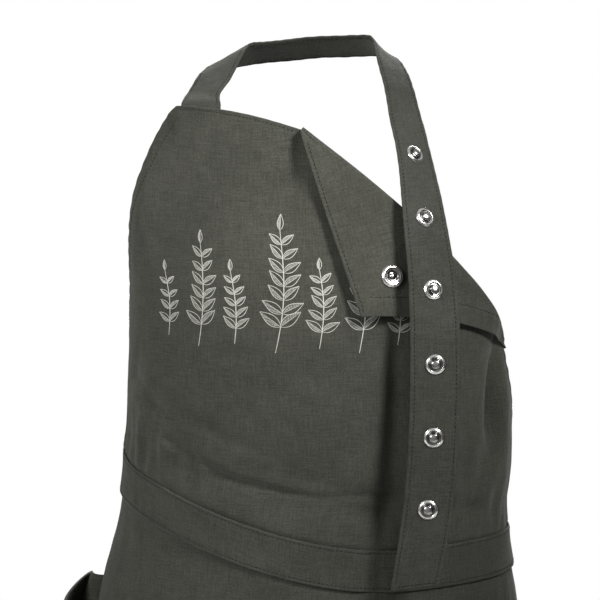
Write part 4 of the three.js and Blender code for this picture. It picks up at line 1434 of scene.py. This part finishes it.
def make_snaps():
    for k in range(1, SNAP_COUNT + 1):
        along = STRAP_LENGTH - SNAP_END_MARGIN - (SNAP_COUNT - k) * SNAP_PITCH
        centre, normal = strap_frame(along)

        def strap_round(a, b):
            return strap_plain(along + a, b)

        fix_snap(strap_round, centre, normal, STUD_RADIUS, STRAP_THICKNESS / 2, [
            ("stud_%d_metal" % k, "snap_stud_%d" % k, STUD_PROFILE, STUD_SHADES, 1),
            ("cap_%d_metal" % k, "snap_cap_%d" % k, CAP_PROFILE, CAP_SHADES, -1),
        ])
    centre, normal, flap_round = flap_socket_frame()
    flap_cap = [(r * FLAP_CAP_SHARE, h * FLAP_CAP_SHARE) for r, h in CAP_PROFILE]
    fix_snap(flap_round, centre, normal, SOCKET_RADIUS, CLOTH / 2, [
        ("flap_socket_metal", "flap_socket", SOCKET_PROFILE, SOCKET_SHADES, 1),
        ("flap_cap_metal", "flap_cap", flap_cap, CAP_SHADES, -1),
    ])


# Printed drawing: a loose row of plain herb sprigs

INK_LIFT = 0.06
INK_SUNK = -0.25


def inked(name, strokes, surface):
    """Thin closed bars of ink on a surface from flat strokes with widths."""
    sides = [[], []]
    faces = []
    base = 0
    for line, width in strokes:
        line = np.asarray(line, float)
        travel = np.gradient(line, axis=0)
        travel /= np.maximum(np.hypot(*travel.T), 1e-9)[:, None]
        over = np.stack([-travel[:, 1], travel[:, 0]], axis=-1)
        share = np.clip(np.linspace(0, 1, len(line)), 0.02, 0.98)
        half = 0.5 * width * (0.45 + 0.55 * np.sin(math.pi * share) ** 0.5)
        sides[0].append(line + over * half[:, None])
        sides[1].append(line - over * half[:, None])
        faces += loft_faces(len(line), 4, base)
        base += 4 * len(line)
    one, two = (np.concatenate(side) for side in sides)
    rows = []
    for place, off in ((one, INK_LIFT), (two, INK_LIFT), (two, INK_SUNK), (one, INK_SUNK)):
        rows.append(lifted(surface, place[:, 0], place[:, 1], CLOTH / 2 + off)[0])
    points = np.stack(rows, axis=1).reshape(-1, 3)
    return make_mesh(name, points, faces, white_ink, shade=False)


STEM_POINTS = 26
STEM_WIDTH = 0.8
LEAF_POINTS = 14
LEAF_WIDTH = 0.5
VEIN_WIDTH = 0.4
HATCH_WIDTH = 0.34

# Sprigs of the printed drawing: foot s and drop, height, lean and leaf pairs.
SPRIGS = [
    (-134, 225, 52, -4, 4),
    (-103, 231, 82, 2, 6),
    (-70, 227, 58, -2, 5),
    (-36, 233, 96, 3, 7),
    (-1, 229, 62, 1, 5),
    (31, 233, 86, 3, 6),
    (64, 228, 48, -1, 4),
]


def sprig(foot_s, foot_drop, height, lean, pairs, seed):
    """One herb sprig: a bent stem with hatched leaves in pairs, as flat strokes."""
    rng = np.random.RandomState(seed)
    t = np.linspace(0, 1, STEM_POINTS)
    tilt = math.radians(lean)
    sway = 0.05 * height * np.sin(math.pi * t)
    stem_s = foot_s + height * t * math.sin(tilt) + sway
    stem = flat_path(stem_s, foot_drop - height * t * math.cos(tilt))
    strokes = [(stem, STEM_WIDTH)]
    for pair in range(pairs + 1):
        at = 0.22 + 0.78 * pair / pairs
        centre = row_at(at, t, stem)
        size = (5 + 0.16 * height) * (1.1 - 0.5 * at) * rng.uniform(0.92, 1.08)
        for side in ((0,) if pair == pairs else (-1, 1)):
            turn = tilt + side * rng.uniform(0.8, 1.1)
            along = np.array([math.sin(turn), -math.cos(turn)])
            over = np.array([along[1], -along[0]])
            u = np.linspace(0, 1, LEAF_POINTS)
            broad = 0.2 * size * np.sin(math.pi * u ** 0.8)
            middle = centre + u[:, None] * size * along
            for way in (-1, 1):
                strokes.append((middle + way * broad[:, None] * over, LEAF_WIDTH))
            strokes.append((middle[:LEAF_POINTS - 3], VEIN_WIDTH))
            for k in range(1, LEAF_POINTS - 2):
                tip = middle[min(k + 2, LEAF_POINTS - 1)] + over * broad[k + 1] * 0.85
                strokes.append((np.linspace(middle[k], tip, 4), HATCH_WIDTH))
    return strokes


def make_print():
    strokes = []
    for k, (s, drop, height, lean, pairs) in enumerate(SPRIGS):
        strokes += sprig(s, drop, height, lean, pairs, k)
    return inked("bib_print", strokes, bib_at)


# Everything together


def hang(pieces, node, flat):
    """Hides the solid that a sewn piece stands for, and turns its cut size into metres."""
    if node:
        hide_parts(node)
    flat = tuple(length * MM for length in flat)


# Cut sizes: shares of the finished ones, with ease and folded walls
BIB_CUT = (540, 420)
BAND_CUT = (BAND_HEIGHT, 2.12 * BIB_BELT_HALF)
SKIRT_CUT = (2.3 * SKIRT_HEM_HALF, 1.15 * SKIRT_DROP)
POCKET_CUT = (POCKET_WIDTH + 2.4 * POCKET_DEPTH, POCKET_HEIGHT + 1.6 * POCKET_DEPTH)
TAIL_CUT = (TIE_WIDTH, 1.08 * TAIL_LENGTH)

hang([*make_bib(), make_print()], "bib", BIB_CUT)
hang(make_strap(), "neck_strap", (STRAP_WIDTH, STRAP_LENGTH))
hang(make_band(), "waistband", BAND_CUT)
hang(make_skirt(), "skirt", SKIRT_CUT)
for side, name in ((-1, "pocket_left"), (1, "pocket_right")):
    hang(make_pocket(side, name), name, POCKET_CUT)
for side, name in ((-1, "waist_tie_left"), (1, "waist_tie_right")):
    hang(make_tie(side, name), name, (TIE_WIDTH, TIE_LENGTH))
knot = make_knot()
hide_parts("tie_knot")
for side, name in ((-1, "tail_left"), (1, "tail_right")):
    hang(make_tail(side, name), None, TAIL_CUT)
make_snaps()


# Camera, light and floor

CAMERA_PLACE = (-0.0136, -2.6257, 0.1549)
CAMERA_DOWN = 8

camera_data = bpy.data.cameras.new("camera")
camera_data.lens = 187.5
camera_data.sensor_width = 36.0
camera_data.clip_end = 50.0
camera = bpy.data.objects.new("camera", camera_data)
camera.location = CAMERA_PLACE
camera.rotation_euler = (math.radians(90 - CAMERA_DOWN), 0, 0)
bpy.context.scene.collection.objects.link(camera)
bpy.context.scene.camera = camera


def area_light(name, place, aim, size, power, spread=180):
    data = bpy.data.lights.new(name, "AREA")
    data.shape = "DISK"
    data.size = size
    data.energy = power
    data.spread = math.radians(spread)
    light = bpy.data.objects.new(name, data)
    light.location = place
    way = np.array(aim, float) - np.array(place, float)
    flat = math.hypot(way[0], way[1])
    light.rotation_euler = (math.atan2(flat, -way[2]), 0, math.atan2(-way[0], way[1]))
    bpy.context.scene.collection.objects.link(light)


area_light("key", (0.72, -0.88, 0.6), (-0.15, -0.15, -0.12), 0.34, 3.6, 53)
area_light("fill", (-1.2, -1.2, 0.4), (-0.05, -0.1, -0.14), 0.8, 8.8, 90)
area_light("back_fill", (0.6, 2.4, 0.9), (0, 0, -0.4), 1.6, 130)

# Sky: white straight ahead, grey elsewhere and darker to the right
world = bpy.data.worlds.new("studio")
bpy.context.scene.world = world
g = Graph(world)
parts = g.add("SeparateXYZ", {0: g.add("TexCoord").outputs["Generated"]})
ahead = g.ramp(parts.outputs[1], 0.9, 0.955)
above = g.ramp(parts.outputs[2], -0.7, 0.8, 0.1, 0.4)
rightward = g.ramp(parts.outputs[0], -0.2, 0.9, 1.0, 0.3)
behind = g.ramp(parts.outputs[1], -0.1, 0.75, 0.0, 0.4)
soft = g.times(g.plus(above, behind), rightward)
shade = g.add("CombineXYZ", {0: soft, 1: soft, 2: soft}).outputs[0]
tone = g.mix(ahead, shade, rgb(1.0, 1.0, 1.0))
sky = g.add("Background", {"Color": tone, "Strength": 1.0})
g.add("OutputWorld", {"Surface": sky.outputs[0]})

FLOOR_HALF = 1.4
FLOOR_Z = -0.98
corners = [(x * FLOOR_HALF, y * FLOOR_HALF, FLOOR_Z)
           for x, y in ((-1, -1), (1, -1), (1, 1), (-1, 1))]
floor_mesh = bpy.data.meshes.new("floor")
floor_mesh.from_pydata(corners, [], [(0, 1, 2, 3)])
floor_paint, g = new_material("floor")
grain = g.noise(g.add("TexCoord").outputs["Object"], 3.0, 4.0)
floor_grey = g.mix(grain, rgb(0.78, 0.78, 0.77), rgb(0.83, 0.83, 0.82))
g.surface({"Base Color": floor_grey, "Roughness": 0.8})
floor_mesh.materials.append(floor_paint)
floor = bpy.data.objects.new("floor", floor_mesh)
bpy.context.scene.collection.objects.link(floor)

bpy.context.scene.view_settings.view_transform = "Standard"
